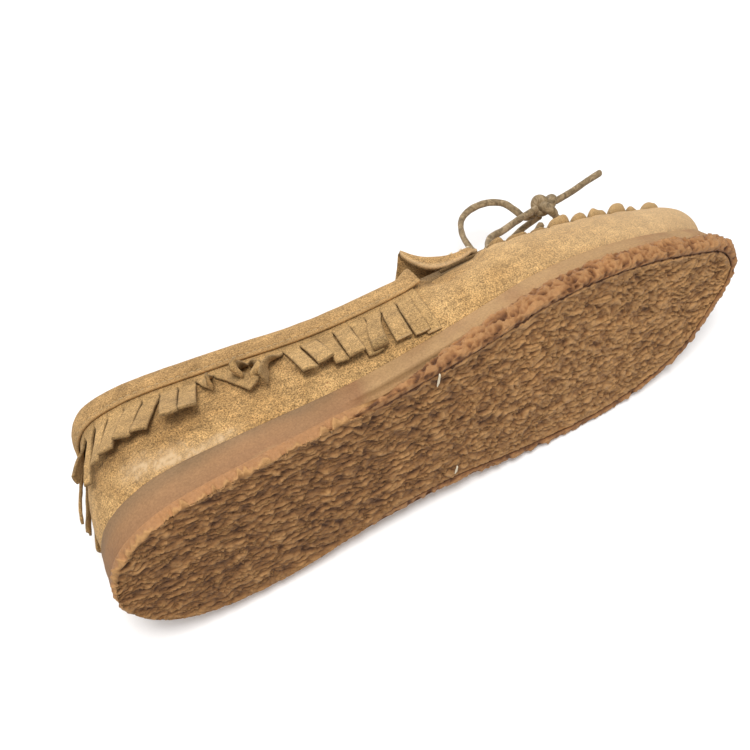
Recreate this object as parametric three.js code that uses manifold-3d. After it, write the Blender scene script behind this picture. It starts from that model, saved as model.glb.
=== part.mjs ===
// A right-foot fringed moccasin with a crepe rubber sole, built as the real one is lasted and sewn.
// Millimetres. +X runs from heel to toe, +Y to the inner (medial) side of the foot, +Z up.
// The origin is on the ground, midway between the heel end and the toe end of the tread.
import * as THREE from "three";
import { mergeVertices } from "three/addons/utils/BufferGeometryUtils.js";
import Module from "manifold-3d";

// ---------------------------------------------------------------- driving dimensions
const SOLE_LENGTH = 261;
const TOE_SPRING = 1.5; // how far the toe end of the tread clears the ground
const SPRING_START = 215; // distance from the heel end at which the tread leaves the ground
const TREAD = 4.6; // thickness of the crepe tread sheet
const GAP = 0.35; // air left between neighbouring solids
const RAND_HEIGHT = 5.2;
const RAND_THICK = 4.2;
const RAND_DIP = 3; // how far the full-grown rand reaches down past the top of the tread
const RAND_LEVEL = TREAD + GAP - RAND_DIP + RAND_HEIGHT + GAP; // the midsole is full width above this
const SUEDE = 1.8;
const LASTING_MARGIN = 9; // suede turned in under the insole board
const FEATHER_INSET = 3.2; // the wrapper meets the midsole this far inside the sole's edge
const BOARD = 1.8;
const FOOTBED = 3;
const COUNTER = 1.3;
const BAND = 7.2; // depth of the collar binding's outer leg
const BAND_INNER = 8;
const BAND_SKIN = 1.2;
const HEADER_TOP = 2; // upper edge of the fringe header, below the collar edge
const HEADER_DROP = 9; // lower edge of the fringe header, below the collar edge
const TASSEL_LENGTH = 21.5;
const TASSEL_THICK = 1.1;
const TASSELS = 34;
const TASSEL_SHARE = 0.86; // share of the pitch that each tassel fills at its root
const TASSEL_TAPER = 0.2; // share of its width that it loses on the way to its tip
const TASSEL_TOP = HEADER_DROP + 1.3; // a hinged tassel needs room to turn under the header
const TASSEL_OFFSET = 0.6; // air between the wrapper and a tassel's root
const TASSEL_SWING = [0, 75];
const FLARE_HEEL = 4; // how far the tassel tips stand away from the wall at the heel
const FLARE_SIDE = 1.2;
const HEADER_SKIN = 1;
const BINDING_CLEAR = 1.75; // the binding's outer leg leaves this much room for the header
const TREAD_STEP = 3.2; // how far the tread draws in to make room for the rand
const MIDSOLE_STEP = 3.7;
const HEEL_HEIGHT = 18; // height of the sole unit under the heel and under the forefoot
const FORE_HEIGHT = 14.8;
const RAND_START = 4.26; // station where the rand starts on the outer side
const RAND_END = 15.64; // station where it ends on the inner side
const BOARD_INSET = FEATHER_INSET + 3;
const COUNTER_REACH = 0.13; // how far round from the heel the counter goes, as a share of the outline
const COUNTER_TOP = 15; // its upper and lower edge, below the collar edge
const COUNTER_BOTTOM = 33;
const SEAM_GAP = SUEDE * 0.5 + GAP; // air left for the plug seam
const TONGUE_ROOT = 170.5; // distance from the heel end at which the flap joins the plug
const TONGUE_TIP = 142;
const TONGUE_LEVEL = 50.6; // height of the flap's edges, just above the wrapper's
const TONGUE_CURL = 11; // rise of its free corners
const TONGUE_CROWN = 4.2;
const TONGUE_RISE = 6; // further rise of its free end between the corners
const TONGUE_HINGE = 52; // height of its fold line
const TONGUE_LIFT = [0, 55];
const LACE = 1.5; // lace radius
const THREAD = 0.45; // sewing thread radius

// Half-way stations from the heel end, [distance from the heel, sideways], heel to toe.
// Outer side is negative, inner side positive. The same station number on both sides makes a rung.
const OUTER_SIDE = [
  [6, -18.5], [22, -28.8], [55, -31.8], [95, -33.2], [135, -37.5],
  [172, -43], [206, -39.5], [238, -28.8], [255.5, -15.5],
];
const INNER_SIDE = [
  [7, 18], [22, 30.5], [52, 36.4], [92, 33.2], [128, 33.6],
  [163, 39.6], [204, 42.2], [236, 33], [253.5, 18],
];
// The wrapper's top edge at those stations: collar behind the throat, plug seam in front of it.
const OUTER_EDGE = [
  [17, -12.5, 67.3], [29, -20.5, 63], [59, -24, 56.7], [98, -25, 50], [138, -26.5, 48],
  [172, -28.5, 45.8], [206, -27, 41.3], [232, -22, 38], [249.5, -14, 36.2],
];
const INNER_EDGE = [
  [17, 12.5, 67.3], [29, 20.5, 63], [59, 23.5, 56.7], [98, 24, 50], [138, 25.5, 48],
  [172, 27.5, 45.8], [206, 27, 41.3], [233, 22.5, 38], [250, 14.5, 36.2],
];
const THREAD_ENDS = { outer: [121, -28], inner: [128, 25] }; // loose thread ends under the tread
const HEEL_POINT = [0, 0];
const TOE_POINT = [SOLE_LENGTH, 0.5];
const HEEL_EDGE = [13, 0, 69];
const TOE_EDGE = [254.5, 1, 35.4];
const TOE_BULGE = 7; // extra fullness of the lasted toe
const STATIONS = 20; // stations in the closed outline, heel and toe included
const AROUND = 80; // facets round the outline, four to each station
const THROAT = 5 / STATIONS; // where the collar ends and the tongue opening starts
const PLUG_START = 6 / STATIONS; // where the plug seam starts
const TOE = 0.5;
const FRINGE_REACH = THROAT * 0.985;

// ---------------------------------------------------------------- the two base curves
const fromHeel = (u) => u - SOLE_LENGTH / 2;
const station = ([u, y, z = 0]) => new THREE.Vector3(fromHeel(u), y, z);
const closedCurve = (heel, outer, toe, inner) =>
  new THREE.CatmullRomCurve3(
    [heel, ...outer, toe, ...[...inner].reverse()].map(station), true, "centripetal",
  );
const SOLE_CURVE = closedCurve(HEEL_POINT, OUTER_SIDE, TOE_POINT, INNER_SIDE);
const EDGE_CURVE = closedCurve(HEEL_EDGE, OUTER_EDGE, TOE_EDGE, INNER_EDGE);
const UP = new THREE.Vector3(0, 0, 1);

const wrap = (t) => ((t % 1) + 1) % 1;
const distance = (x) => x + SOLE_LENGTH / 2;
const smooth = (a, b, v) => THREE.MathUtils.smoothstep(v, a, b);
const mix = THREE.MathUtils.lerp;

function outward(t) {
  const along = SOLE_CURVE.getTangent(wrap(t));
  return new THREE.Vector3(along.y, -along.x, 0).normalize();
}

function outlinePoint(t, inset, z) {
  const p = SOLE_CURVE.getPoint(wrap(t)).addScaledVector(outward(t), -inset);
  return p.setZ(z(distance(p.x)));
}

// ---------------------------------------------------------------- heights along the sole
const spring = (u) => TOE_SPRING * Math.max(0, (u - SPRING_START) / (SOLE_LENGTH - SPRING_START)) ** 2;
const groundLine = (u) => spring(u);
const treadTop = (u) => TREAD + spring(u);
const midsoleBottom = (u) => treadTop(u) + GAP;
const midsoleTop = (u) => mix(HEEL_HEIGHT, FORE_HEIGHT, smooth(25, 105, u)) + spring(u);
const liningFloor = (u) => midsoleTop(u) + GAP;
const boardBottom = (u) => liningFloor(u) + SUEDE + GAP;
const boardTop = (u) => boardBottom(u) + BOARD;
const footbedBottom = (u) => boardTop(u) + GAP;
const footbedTop = (u) => footbedBottom(u) + FOOTBED;
const forefoot = (u) => smooth(84, 102, u); // 0 behind the waist, 1 where the sole steps in for the rand
const randGrowth = (u) => mix(0.3, 1, smooth(98, 140, u)); // share of the rand's full height

// ---------------------------------------------------------------- solids from rows of points
function geometry(points, triangles) {
  const made = new THREE.BufferGeometry().setFromPoints(points);
  made.setIndex(triangles);
  return made.toNonIndexed();
}

// rows[i][k]: section i, point k, each section a closed loop. Sections join end to end when closed.
function loftSections(rows, closed) {
  const n = rows[0].length;
  const triangles = [];
  const last = closed ? rows.length : rows.length - 1;
  for (let i = 0; i < last; i++) {
    const j = (i + 1) % rows.length;
    for (let k = 0; k < n; k++) {
      const m = (k + 1) % n;
      const [a, b, c, d] = [i * n + k, j * n + k, j * n + m, i * n + m];
      triangles.push(a, b, c, a, c, d);
    }
  }
  if (!closed) {
    const end = (rows.length - 1) * n;
    for (const [a, b, c] of sectionFaces(rows[0])) triangles.push(a, b, c);
    for (const [a, b, c] of sectionFaces(rows.at(-1))) triangles.push(end + a, end + c, end + b);
  }
  return geometry(rows.flat(), triangles);
}

// A section runs out along one skin and back along the other, so ladder rungs fill it.
function sectionFaces(section) {
  const n = section.length;
  const faces = [];
  for (let k = 0; k < n / 2 - 1; k++) {
    faces.push([k, k + 1, n - 2 - k], [k, n - 2 - k, n - 1 - k]);
  }
  return faces;
}

// A slab between level rings of the outline; rungs from the outer to the inner side fill both faces.
function stackRings(levels) {
  const rings = levels.map(([inset, z]) =>
    Array.from({ length: AROUND }, (_, i) => {
      const t = i / AROUND;
      const share = typeof inset === "function" ? inset(distance(SOLE_CURVE.getPoint(t).x)) : inset;
      return outlinePoint(t, share, z);
    }),
  );
  const triangles = [];
  for (let r = 0; r < rings.length - 1; r++) {
    for (let i = 0; i < AROUND; i++) {
      const j = (i + 1) % AROUND;
      const [a, b] = [r * AROUND + i, r * AROUND + j];
      const [c, d] = [(r + 1) * AROUND + j, (r + 1) * AROUND + i];
      triangles.push(a, b, c, a, c, d);
    }
  }
  const top = (rings.length - 1) * AROUND;
  for (let i = 0; i < AROUND / 2; i++) {
    const [a, b, c, d] = [i, i + 1, (AROUND - i - 1) % AROUND, (AROUND - i) % AROUND];
    if (i > 0) triangles.push(a, d, c, top + a, top + c, top + d);
    if (b !== c) triangles.push(a, c, b, top + a, top + b, top + c);
  }
  return geometry(rings.flat(), triangles);
}

function tube(points, radius, steps, closed = false) {
  const path = new THREE.CatmullRomCurve3(points, closed, "centripetal");
  const round = new THREE.Shape().absarc(0, 0, radius, 0, 2 * Math.PI);
  return new THREE.ExtrudeGeometry(round, {
    steps, curveSegments: 3, bevelEnabled: false, extrudePath: path,
  });
}

// ---------------------------------------------------------------- the upper's wall
// One cubic from the feather line to the top edge; its handles make the lasted bulge.
function wallCurve(t) {
  const foot = outlinePoint(t, FEATHER_INSET, liningFloor);
  const edge = EDGE_CURVE.getPoint(wrap(t));
  const out = outward(t);
  const u = distance(foot.x);
  const toeward = smooth(120, 175, u);
  const rise = edge.z - foot.z;
  const bulge = mix(2.2, 3.2, toeward) + TOE_BULGE * smooth(230, 252, u);
  const low = foot.clone().addScaledVector(out, bulge).addScaledVector(UP, mix(0.35, 0.4, toeward) * rise);
  const lean = mix(1.5, 5.5, toeward);
  const dip = mix(0.35, 0.12, toeward) * rise;
  const high = edge.clone().addScaledVector(out, lean).addScaledVector(UP, -dip);
  return new THREE.CubicBezierCurve3(foot, low, high, edge);
}

// Point and outward normal of the wall's outer face; drop is the distance down from the top edge.
function wallFrame(t, share) {
  const step = 1e-3;
  const curve = wallCurve(t);
  const point = curve.getPointAt(share);
  const ahead = wallCurve(t + step).getPointAt(share);
  const behind = wallCurve(t - step).getPointAt(share);
  const along = ahead.sub(behind).normalize();
  const up = curve.getTangentAt(share);
  return { point, along, up, normal: along.clone().cross(up).normalize() };
}

const wallAt = (t, share, offset) => {
  const f = wallFrame(t, share);
  return f.point.addScaledVector(f.normal, offset);
};
const shareAtDrop = (t, drop) => 1 - drop / wallCurve(t).getLength();
const range = (n, a, b) => Array.from({ length: n + 1 }, (_, i) => mix(a, b, i / n));

// A piece of sheet that follows the wall between two offsets, from drop a down to drop b.
function wallPatch(ts, a, b, rows, near, far) {
  const sections = ts.map((t) => {
    const shares = range(rows, shareAtDrop(t, b), shareAtDrop(t, a));
    const outer = shares.map((s) => wallAt(t, s, far));
    const inner = shares.map((s) => wallAt(t, s, near)).reverse();
    return [...outer, ...inner];
  });
  return loftSections(sections, false);
}

// ---------------------------------------------------------------- cuts
const wasm = await Module();
wasm.setup();

function solid(made) {
  const bare = new THREE.BufferGeometry().setAttribute("position", made.getAttribute("position"));
  if (made.index) bare.setIndex(made.index);
  const merged = mergeVertices(bare, 1e-4);
  const mesh = { numProp: 3, vertProperties: merged.attributes.position.array };
  return new wasm.Manifold(new wasm.Mesh({ ...mesh, triVerts: new Uint32Array(merged.index.array) }));
}

function cut(from, tool) {
  const left = solid(from).subtract(solid(tool)).getMesh();
  const made = new THREE.BufferGeometry();
  made.setAttribute("position", new THREE.BufferAttribute(left.vertProperties, 3));
  made.setIndex(new THREE.BufferAttribute(left.triVerts, 1));
  return made;
}

// ---------------------------------------------------------------- sole unit
// A loose thread end lies in a shallow pocket, so that the tread still stands flat.
function threadEnd(side, margin) {
  const [u, y] = THREAD_ENDS[side];
  const block = new THREE.BoxGeometry(4.4 + 2 * margin, 1 + 2 * margin, 0.9 + margin);
  return block.rotateZ(0.5).translate(fromHeel(u), y, 0.5 + margin / 2);
}

function tread() {
  const slab = stackRings([
    [(u) => 0.9 + TREAD_STEP * forefoot(u), groundLine],
    [(u) => 0.2 + TREAD_STEP * forefoot(u), (u) => groundLine(u) + 0.9],
    [(u) => 0.3 + TREAD_STEP * forefoot(u), treadTop],
  ]);
  return Object.keys(THREAD_ENDS).reduce(
    (left, side) => cut(left, threadEnd(side, GAP).translate(0, 0, -GAP)), slab,
  );
}

// The midsole steps in behind the rand and comes out again above it.
const midsole = () =>
  stackRings([
    [(u) => 0.4 + MIDSOLE_STEP * forefoot(u), midsoleBottom],
    [(u) => 0.7 + (MIDSOLE_STEP - 0.3) * forefoot(u), (u) => spring(u) + RAND_LEVEL],
    [(u) => 0.8 + 0.4 * forefoot(u), (u) => spring(u) + RAND_LEVEL + 0.8],
    [2, midsoleTop],
  ]);

// The rough crepe strip round the forefoot, from the waist on one side to the waist on the other.
function rand() {
  const sections = range(56, RAND_START, RAND_END).map((step) => {
    const t = step / STATIONS;
    const grow = randGrowth(distance(SOLE_CURVE.getPoint(t).x));
    const foot = (u) => treadTop(u) + GAP - RAND_DIP * grow;
    const head = (u) => foot(u) + RAND_HEIGHT * grow;
    const middle = (u) => mix(foot(u), head(u), 0.5);
    const inner = TREAD_STEP + 0.2 - GAP;
    const face = inner - mix(1.5, RAND_THICK, grow);
    return [
      outlinePoint(t, face + 0.5, foot), outlinePoint(t, face, middle), outlinePoint(t, face + 0.5, head),
      outlinePoint(t, inner, head), outlinePoint(t, inner, middle), outlinePoint(t, inner, foot),
    ];
  });
  return loftSections(sections, false);
}

const insoleBoard = () => stackRings([[BOARD_INSET, boardBottom], [BOARD_INSET, boardTop]]);
const footbed = () =>
  stackRings([
    [BOARD_INSET + 0.2, footbedBottom],
    [BOARD_INSET - 0.4, (u) => footbedTop(u) - 1],
    [BOARD_INSET + 0.6, footbedTop],
  ]);

// ---------------------------------------------------------------- suede upper
function wrapper() {
  const rows = 6;
  const sections = range(AROUND - 1, 0, 1 - 1 / AROUND).map((t) => {
    const shares = range(rows, 0, 1);
    const lifted = (u) => liningFloor(u) + SUEDE;
    const turnedIn = FEATHER_INSET + LASTING_MARGIN;
    const outer = [outlinePoint(t, turnedIn, liningFloor), ...shares.map((s) => wallAt(t, s, 0))];
    const inner = [
      outlinePoint(t, turnedIn, lifted),
      outlinePoint(t, FEATHER_INSET + SUEDE, lifted),
      ...shares.slice(1).map((s) => wallAt(t, s, -SUEDE)),
    ];
    return [...outer, ...inner.reverse()];
  });
  return loftSections(sections, true);
}

function heelCounter() {
  const reach = range(20, -COUNTER_REACH, COUNTER_REACH);
  return wallPatch(reach, COUNTER_TOP, COUNTER_BOTTOM, 4, -SUEDE - 0.5 - COUNTER, -SUEDE - 0.5);
}

// A point beside the wrapper's top edge: out from its face, and up past the edge.
function pastEdge(t, out, up) {
  const top = wallFrame(t, 1);
  return top.point.addScaledVector(top.normal, out).addScaledVector(top.up, up);
}

// Folded suede that covers the collar edge inside and out; the fringe header lies under its outer leg.
function collarBinding() {
  const sections = range(44, -THROAT, THROAT).map((t) => {
    const leg = (drop, offset) => wallAt(t, shareAtDrop(t, drop), offset);
    const skin = [
      leg(BAND, BINDING_CLEAR + BAND_SKIN), leg(BAND / 2, BINDING_CLEAR + BAND_SKIN + 0.5),
      pastEdge(t, BINDING_CLEAR + BAND_SKIN, 1), pastEdge(t, -SUEDE / 2, 3.6),
      pastEdge(t, -SUEDE - 2.4, 1), leg(BAND_INNER, -SUEDE - 1.8),
    ];
    const lining = [
      leg(BAND, BINDING_CLEAR), leg(BAND / 2, BINDING_CLEAR + 0.3),
      pastEdge(t, BINDING_CLEAR, 0.6), pastEdge(t, -SUEDE / 2, 2.2),
      pastEdge(t, -SUEDE - 1.2, 0.6), leg(BAND_INNER, -SUEDE - 0.7),
    ];
    return [...skin, ...lining.reverse()];
  });
  return loftSections(sections, false);
}

// The collar's soft core, in the fold above the wrapper's edge.
function collarPadding() {
  const sections = range(40, -THROAT * 0.97, THROAT * 0.97).map((t) => [
    pastEdge(t, 0.5, GAP), pastEdge(t, -0.3, 1.3), pastEdge(t, -1.5, 1.3), pastEdge(t, -2.2, GAP),
  ]);
  return loftSections(sections, false);
}

// ---------------------------------------------------------------- fringe
const fringeHeader = () =>
  wallPatch(range(44, -FRINGE_REACH, FRINGE_REACH), HEADER_TOP, HEADER_DROP, 3, GAP, GAP + HEADER_SKIN);

// Outline shares evenly spaced by length along the fringe's cut line, from the inner throat
// round the heel to the outer throat.
function evenly(count, reach, drop) {
  const fine = range(400, -reach, reach);
  const line = fine.map((t) => wallAt(t, shareAtDrop(t, drop), 0));
  const run = [0];
  for (let i = 1; i < line.length; i++) run.push(run[i - 1] + line[i].distanceTo(line[i - 1]));
  return range(count, 0, run.at(-1)).map((length) => {
    const i = Math.max(1, run.findIndex((r) => r >= length));
    return mix(fine[i - 1], fine[i], (length - run[i - 1]) / (run[i] - run[i - 1]));
  });
}
const TASSEL_EDGES = evenly(TASSELS, FRINGE_REACH, TASSEL_TOP);

function tassel(i) {
  const [from, to] = [TASSEL_EDGES[i], TASSEL_EDGES[i + 1]];
  const trim = ((1 - TASSEL_SHARE) / 2) * (to - from);
  const flare = mix(FLARE_HEEL, FLARE_SIDE, smooth(0.02, 0.11, Math.abs(mix(from, to, 0.5))));
  const sections = [from + trim, to - trim].map((t) => {
    const fall = (share, offset) => {
      const drop = TASSEL_TOP + TASSEL_LENGTH * share;
      const at = mix(t, mix(from, to, 0.5), TASSEL_TAPER * share);
      return wallAt(at, shareAtDrop(at, drop), TASSEL_OFFSET + offset + flare * share ** 1.5);
    };
    const face = range(3, 1, 0).map((share) => fall(share, TASSEL_THICK));
    const back = range(3, 0, 1).map((share) => fall(share, 0));
    return [...face, ...back];
  });
  return loftSections(sections, false);
}

// The tassel swings out about its root, where it is still part of the header in the real suede.
function tasselHinge(i) {
  const t = mix(TASSEL_EDGES[i], TASSEL_EDGES[i + 1], 0.5);
  const root = wallFrame(t, shareAtDrop(t, TASSEL_TOP));
  const point = root.point.addScaledVector(root.normal, TASSEL_OFFSET + TASSEL_THICK / 2);
  return { point, axis: root.along.negate(), range: TASSEL_SWING };
}

// ---------------------------------------------------------------- plug and tongue
// Sheet between pairs of edge points, arched over the foot; rungs run from heel to toe.
function archedSheet(rungs, across, thick) {
  const sections = rungs.map(({ outer, inner, crown, curl = 0 }) => {
    const line = (lift) =>
      range(across, 0, 1).map((s) => {
        const arch = crown * 4 * s * (1 - s) + curl * Math.abs(2 * s - 1) ** 4;
        return outer.clone().lerp(inner, s).addScaledVector(UP, arch + lift);
      });
    return [...line(0), ...line(-thick).reverse()];
  });
  return loftSections(sections, false);
}

const plug = () =>
  archedSheet(range(16, PLUG_START + 0.004, TOE - 0.014).map((t) => {
    const [outer, inner] = [EDGE_CURVE.getPoint(t), EDGE_CURVE.getPoint(1 - t)];
    const width = inner.distanceTo(outer);
    const inward = inner.clone().sub(outer).normalize();
    outer.addScaledVector(inward, SEAM_GAP);
    inner.addScaledVector(inward, -SEAM_GAP);
    const nose = smooth(TOE - 0.05, TOE - 0.014, t) * (SEAM_GAP + 0.4);
    for (const p of [outer, inner]) p.x -= nose;
    return { outer, inner, crown: Math.min(6.5, width * 0.12) };
  }), 10, SUEDE);

const tongue = () =>
  archedSheet(range(14, TONGUE_TIP, TONGUE_ROOT).map((u) => {
    const s = (TONGUE_ROOT - u) / (TONGUE_ROOT - TONGUE_TIP);
    const rounding = Math.sqrt(1 - Math.max(0, (s - 0.75) / 0.27) ** 2);
    const half = mix(25, 30, smooth(0, 0.35, s)) * rounding;
    const at = (y) => new THREE.Vector3(fromHeel(u), y, TONGUE_LEVEL);
    const lifted = smooth(0.45, 1, s);
    const crown = TONGUE_CROWN + TONGUE_RISE * lifted;
    return { outer: at(-half), inner: at(half), crown, curl: TONGUE_CURL * lifted };
  }), 10, SUEDE);

const tongueHinge = () => ({
  point: new THREE.Vector3(fromHeel(TONGUE_ROOT), 0, TONGUE_HINGE),
  axis: new THREE.Vector3(0, 1, 0),
  range: TONGUE_LIFT,
});

// ---------------------------------------------------------------- lace and threads
const lacePoint = ([u, y, z]) => new THREE.Vector3(fromHeel(u), y, z);
function lace(points, steps) {
  return tube(points.map(lacePoint), LACE, steps);
}

const KNOT = [216.5, -14, 66.5];
const LACE_PIECES = {
  lace_strand_outer: [[178, -24.5, 52.5], [187, -22, 56.5], [198, -18.5, 61.5], [210.5, -16, 65.5]],
  lace_strand_inner: [[177, 22.5, 54.2], [188, 16, 58.3], [200, 3, 60.8], [212, -8, 63]],
  lace_loop_outer: [
    [212.5, -10, 68.5], [208, -10.5, 69], [206.5, -11.5, 74], [205, -12, 79.5], [200.5, -12, 83.5],
    [193, -12, 84.5], [185, -12.5, 81], [179.5, -12.5, 73], [177.5, -12.5, 64.5],
  ],
  lace_loop_inner: [
    [214.5, -7.5, 68.5], [209, 2, 74], [201, 13, 76], [192, 21, 73], [186, 21, 67], [184, 13, 62.5],
  ],
  lace_tail_outer: [[223, -14.5, 66.3], [231, -14.5, 67.4], [240, -14.5, 69.2], [248.5, -14.5, 70.5]],
  lace_tail_inner: [[220.5, -8.5, 62.5], [228, 1, 56.5], [237, 9, 51], [246, 12, 48.5]],
};
const LACE_HINGES = {
  lace_loop_outer: { at: LACE_PIECES.lace_loop_outer.at(-1), axis: [1, 0, 0.1], range: [0, 60] },
  lace_loop_inner: { at: LACE_PIECES.lace_loop_inner[0], axis: [1, 0, 0.1], range: [0, 40] },
  lace_tail_outer: { at: LACE_PIECES.lace_tail_outer[0], axis: [0, 0, 1], range: [-30, 30] },
  lace_tail_inner: { at: LACE_PIECES.lace_tail_inner[0], axis: [0, 0, 1], range: [-30, 30] },
};
const laceHinge = ({ at, axis, range: limits }) => ({
  point: lacePoint(at), axis: new THREE.Vector3(...axis).normalize(), range: limits,
});

// Three crossings of the lace pulled tight, as one closed turn.
function laceKnot() {
  const centre = lacePoint(KNOT);
  const turn = Array.from({ length: 24 }, (_, i) => {
    const a = (i / 24) * 2 * Math.PI;
    const [across, along] = [Math.sin(a) + 2 * Math.sin(2 * a), Math.cos(a) - 2 * Math.cos(2 * a)];
    const p = new THREE.Vector3(across, along, -Math.sin(3 * a));
    return p.multiplyScalar(1.6).add(centre);
  });
  return tube(turn, LACE * 0.8, 44, true);
}

function plugSeam() {
  const points = range(60, PLUG_START + 0.004, 1 - PLUG_START - 0.004).map((t) => pastEdge(t, 0.95, -0.4));
  return tube(points, THREAD, 60);
}

function bindingStitch() {
  const points = range(60, -FRINGE_REACH, FRINGE_REACH).map((t) =>
    wallAt(t, shareAtDrop(t, BAND - 2.2), BINDING_CLEAR + BAND_SKIN + THREAD + 0.65));
  return tube(points, THREAD, 60);
}

// ---------------------------------------------------------------- materials
const paint = (color, roughness, metalness = 0) =>
  new THREE.MeshStandardMaterial({ color, roughness, metalness });
const SUEDE_TAN = paint("#b08a56", 0.95);
const FRINGE_TAN = paint("#94805a", 0.95);
const CREPE = paint("#94663c", 0.75);
const MIDSOLE_TAN = paint("#b28a6a", 0.7);
const BOARD_GREY = paint("#8a7a66", 0.9);
const LINING = paint("#c2a27a", 0.85);
const LACE_BROWN = paint("#7a5836", 0.6);
const THREAD_TAN = paint("#c9ad7c", 0.8);
const THREAD_PALE = paint("#ece6d6", 0.8);
const FOAM = paint("#d8c9a8", 0.95);

// ---------------------------------------------------------------- assembly
const moccasin = new THREE.Group();
function add(name, shape, material, hinge) {
  const mesh = new THREE.Mesh(shape, material);
  mesh.name = name;
  if (hinge) mesh.userData.hinge = hinge;
  moccasin.add(mesh);
}

add("crepe_tread", tread(), CREPE);
add("crepe_rand", rand(), CREPE);
add("midsole", midsole(), MIDSOLE_TAN);
add("insole_board", insoleBoard(), BOARD_GREY);
add("footbed", footbed(), LINING);
add("heel_counter", heelCounter(), BOARD_GREY);
add("wrapper", wrapper(), SUEDE_TAN);
add("plug", plug(), SUEDE_TAN);
add("plug_seam_thread", plugSeam(), THREAD_TAN);
add("tongue", tongue(), SUEDE_TAN, tongueHinge());
add("collar_binding", collarBinding(), SUEDE_TAN);
add("collar_padding", collarPadding(), FOAM);
add("binding_stitch", bindingStitch(), THREAD_TAN);
add("fringe_header", fringeHeader(), FRINGE_TAN);
for (const side of Object.keys(THREAD_ENDS)) add(`thread_end_${side}`, threadEnd(side, 0), THREAD_PALE);
for (const [name, points] of Object.entries(LACE_PIECES)) {
  const hinge = LACE_HINGES[name] && laceHinge(LACE_HINGES[name]);
  add(name, lace(points, 20), LACE_BROWN, hinge);
}
add("lace_knot", laceKnot(), LACE_BROWN);
for (let i = 0; i < TASSELS; i++) {
  add(`tassel_${String(i + 1).padStart(2, "0")}`, tassel(i), FRINGE_TAN, tasselHinge(i));
}

export default moccasin;
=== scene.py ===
# A right-foot fringed suede moccasin on a crepe sole. The camera looks up at it from below its outer side.
# Helpers work in millimetres in the CAD frame (toe at +x, outer side at -y); meshes are written in metres.
import random
from math import atan2, copysign, cos, pi, radians, sin, sqrt

import bmesh
import bpy
import numpy as np
from mathutils import Matrix, Vector, noise


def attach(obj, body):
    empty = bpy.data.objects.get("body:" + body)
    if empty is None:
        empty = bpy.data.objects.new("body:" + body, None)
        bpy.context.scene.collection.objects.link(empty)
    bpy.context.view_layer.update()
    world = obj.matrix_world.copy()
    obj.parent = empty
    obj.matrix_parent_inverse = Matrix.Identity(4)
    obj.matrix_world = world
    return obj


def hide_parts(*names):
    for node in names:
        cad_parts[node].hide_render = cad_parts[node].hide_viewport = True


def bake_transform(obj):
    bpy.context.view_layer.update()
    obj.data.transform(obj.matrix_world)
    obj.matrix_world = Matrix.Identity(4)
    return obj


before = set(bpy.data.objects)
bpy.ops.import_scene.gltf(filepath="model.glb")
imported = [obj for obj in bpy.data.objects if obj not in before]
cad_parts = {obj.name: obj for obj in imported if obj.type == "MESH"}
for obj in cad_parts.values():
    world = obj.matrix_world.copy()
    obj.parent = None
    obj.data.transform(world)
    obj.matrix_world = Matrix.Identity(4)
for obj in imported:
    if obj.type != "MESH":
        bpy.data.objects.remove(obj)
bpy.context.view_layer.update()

MM = 0.001
SEED = 11
noise.seed_set(SEED)  # noise_vector would otherwise change with the time of day
UP = np.array([0.0, 0.0, 1.0])

# ---------- the CAD model's driving shapes
SOLE_LENGTH = 261.0
TREAD = 4.6
GAP = 0.35
SUEDE = 1.8
BOARD = 1.8
PLUG_GAP = 1.35
TONGUE_THICK = 1.9
FEATHER_INSET = 3.2
LASTING_MARGIN = 9.0
TREAD_STEP = 3.2
RAND_LEVEL = 7.5
BAND = 7.2
HEADER_DROP = 9.0
TASSELS = 34
BINDING_CLEAR = 1.75
BINDING_SKIN = 1.2
STITCH_DROP = 5.75
THROAT = 0.25
PLUG_START = 0.3
FRINGE_REACH = THROAT * 0.985

OUTER_SIDE = [(6, -18.5), (22, -28.8), (55, -31.8), (95, -33.2), (135, -37.5),
              (172, -43), (206, -39.5), (238, -28.8), (255.5, -15.5)]
INNER_SIDE = [(7, 18), (22, 30.5), (52, 36.4), (92, 33.2), (128, 33.6),
              (163, 39.6), (204, 42.2), (236, 33), (253.5, 18)]
OUTER_EDGE = [(17, -12.5, 67.3), (29, -20.5, 63), (59, -24, 56.7), (98, -25, 50), (138, -26.5, 48),
              (172, -28.5, 45.8), (206, -27, 41.3), (232, -22, 38), (249.5, -14, 36.2)]
INNER_EDGE = [(17, 12.5, 67.3), (29, 20.5, 63), (59, 23.5, 56.7), (98, 24, 50), (138, 25.5, 48),
              (172, 27.5, 45.8), (206, 27, 41.3), (233, 22.5, 38), (250, 14.5, 36.2)]


# ---------- small numeric tools
def mix(a, b, share):
    return a + (b - a) * share


def smooth(a, b, v):
    s = clamp((np.asarray(v, float) - a) / (b - a))
    return s * s * (3 - 2 * s)


def unit(v):
    return v / np.maximum(np.linalg.norm(v, axis=-1, keepdims=True), 1e-12)


def clamp(v):
    return np.clip(v, 0, 1)


def scaled(vectors, amounts):
    """Vectors, each times its own amount."""
    return vectors * np.asarray(amounts, float)[..., None]


def running(line):
    """Running length at each point of a line."""
    return np.concatenate([[0], np.cumsum(np.linalg.norm(np.diff(line, axis=0), axis=1))])


def hermite(a, b, slope_a, slope_b, w):
    """The cubic from a to b with these slopes, at share w."""
    square = 3 * (b - a) - 2 * slope_a - slope_b
    cube = 2 * (a - b) + slope_a + slope_b
    return a + slope_a * w + square * w**2 + cube * w**3


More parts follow.
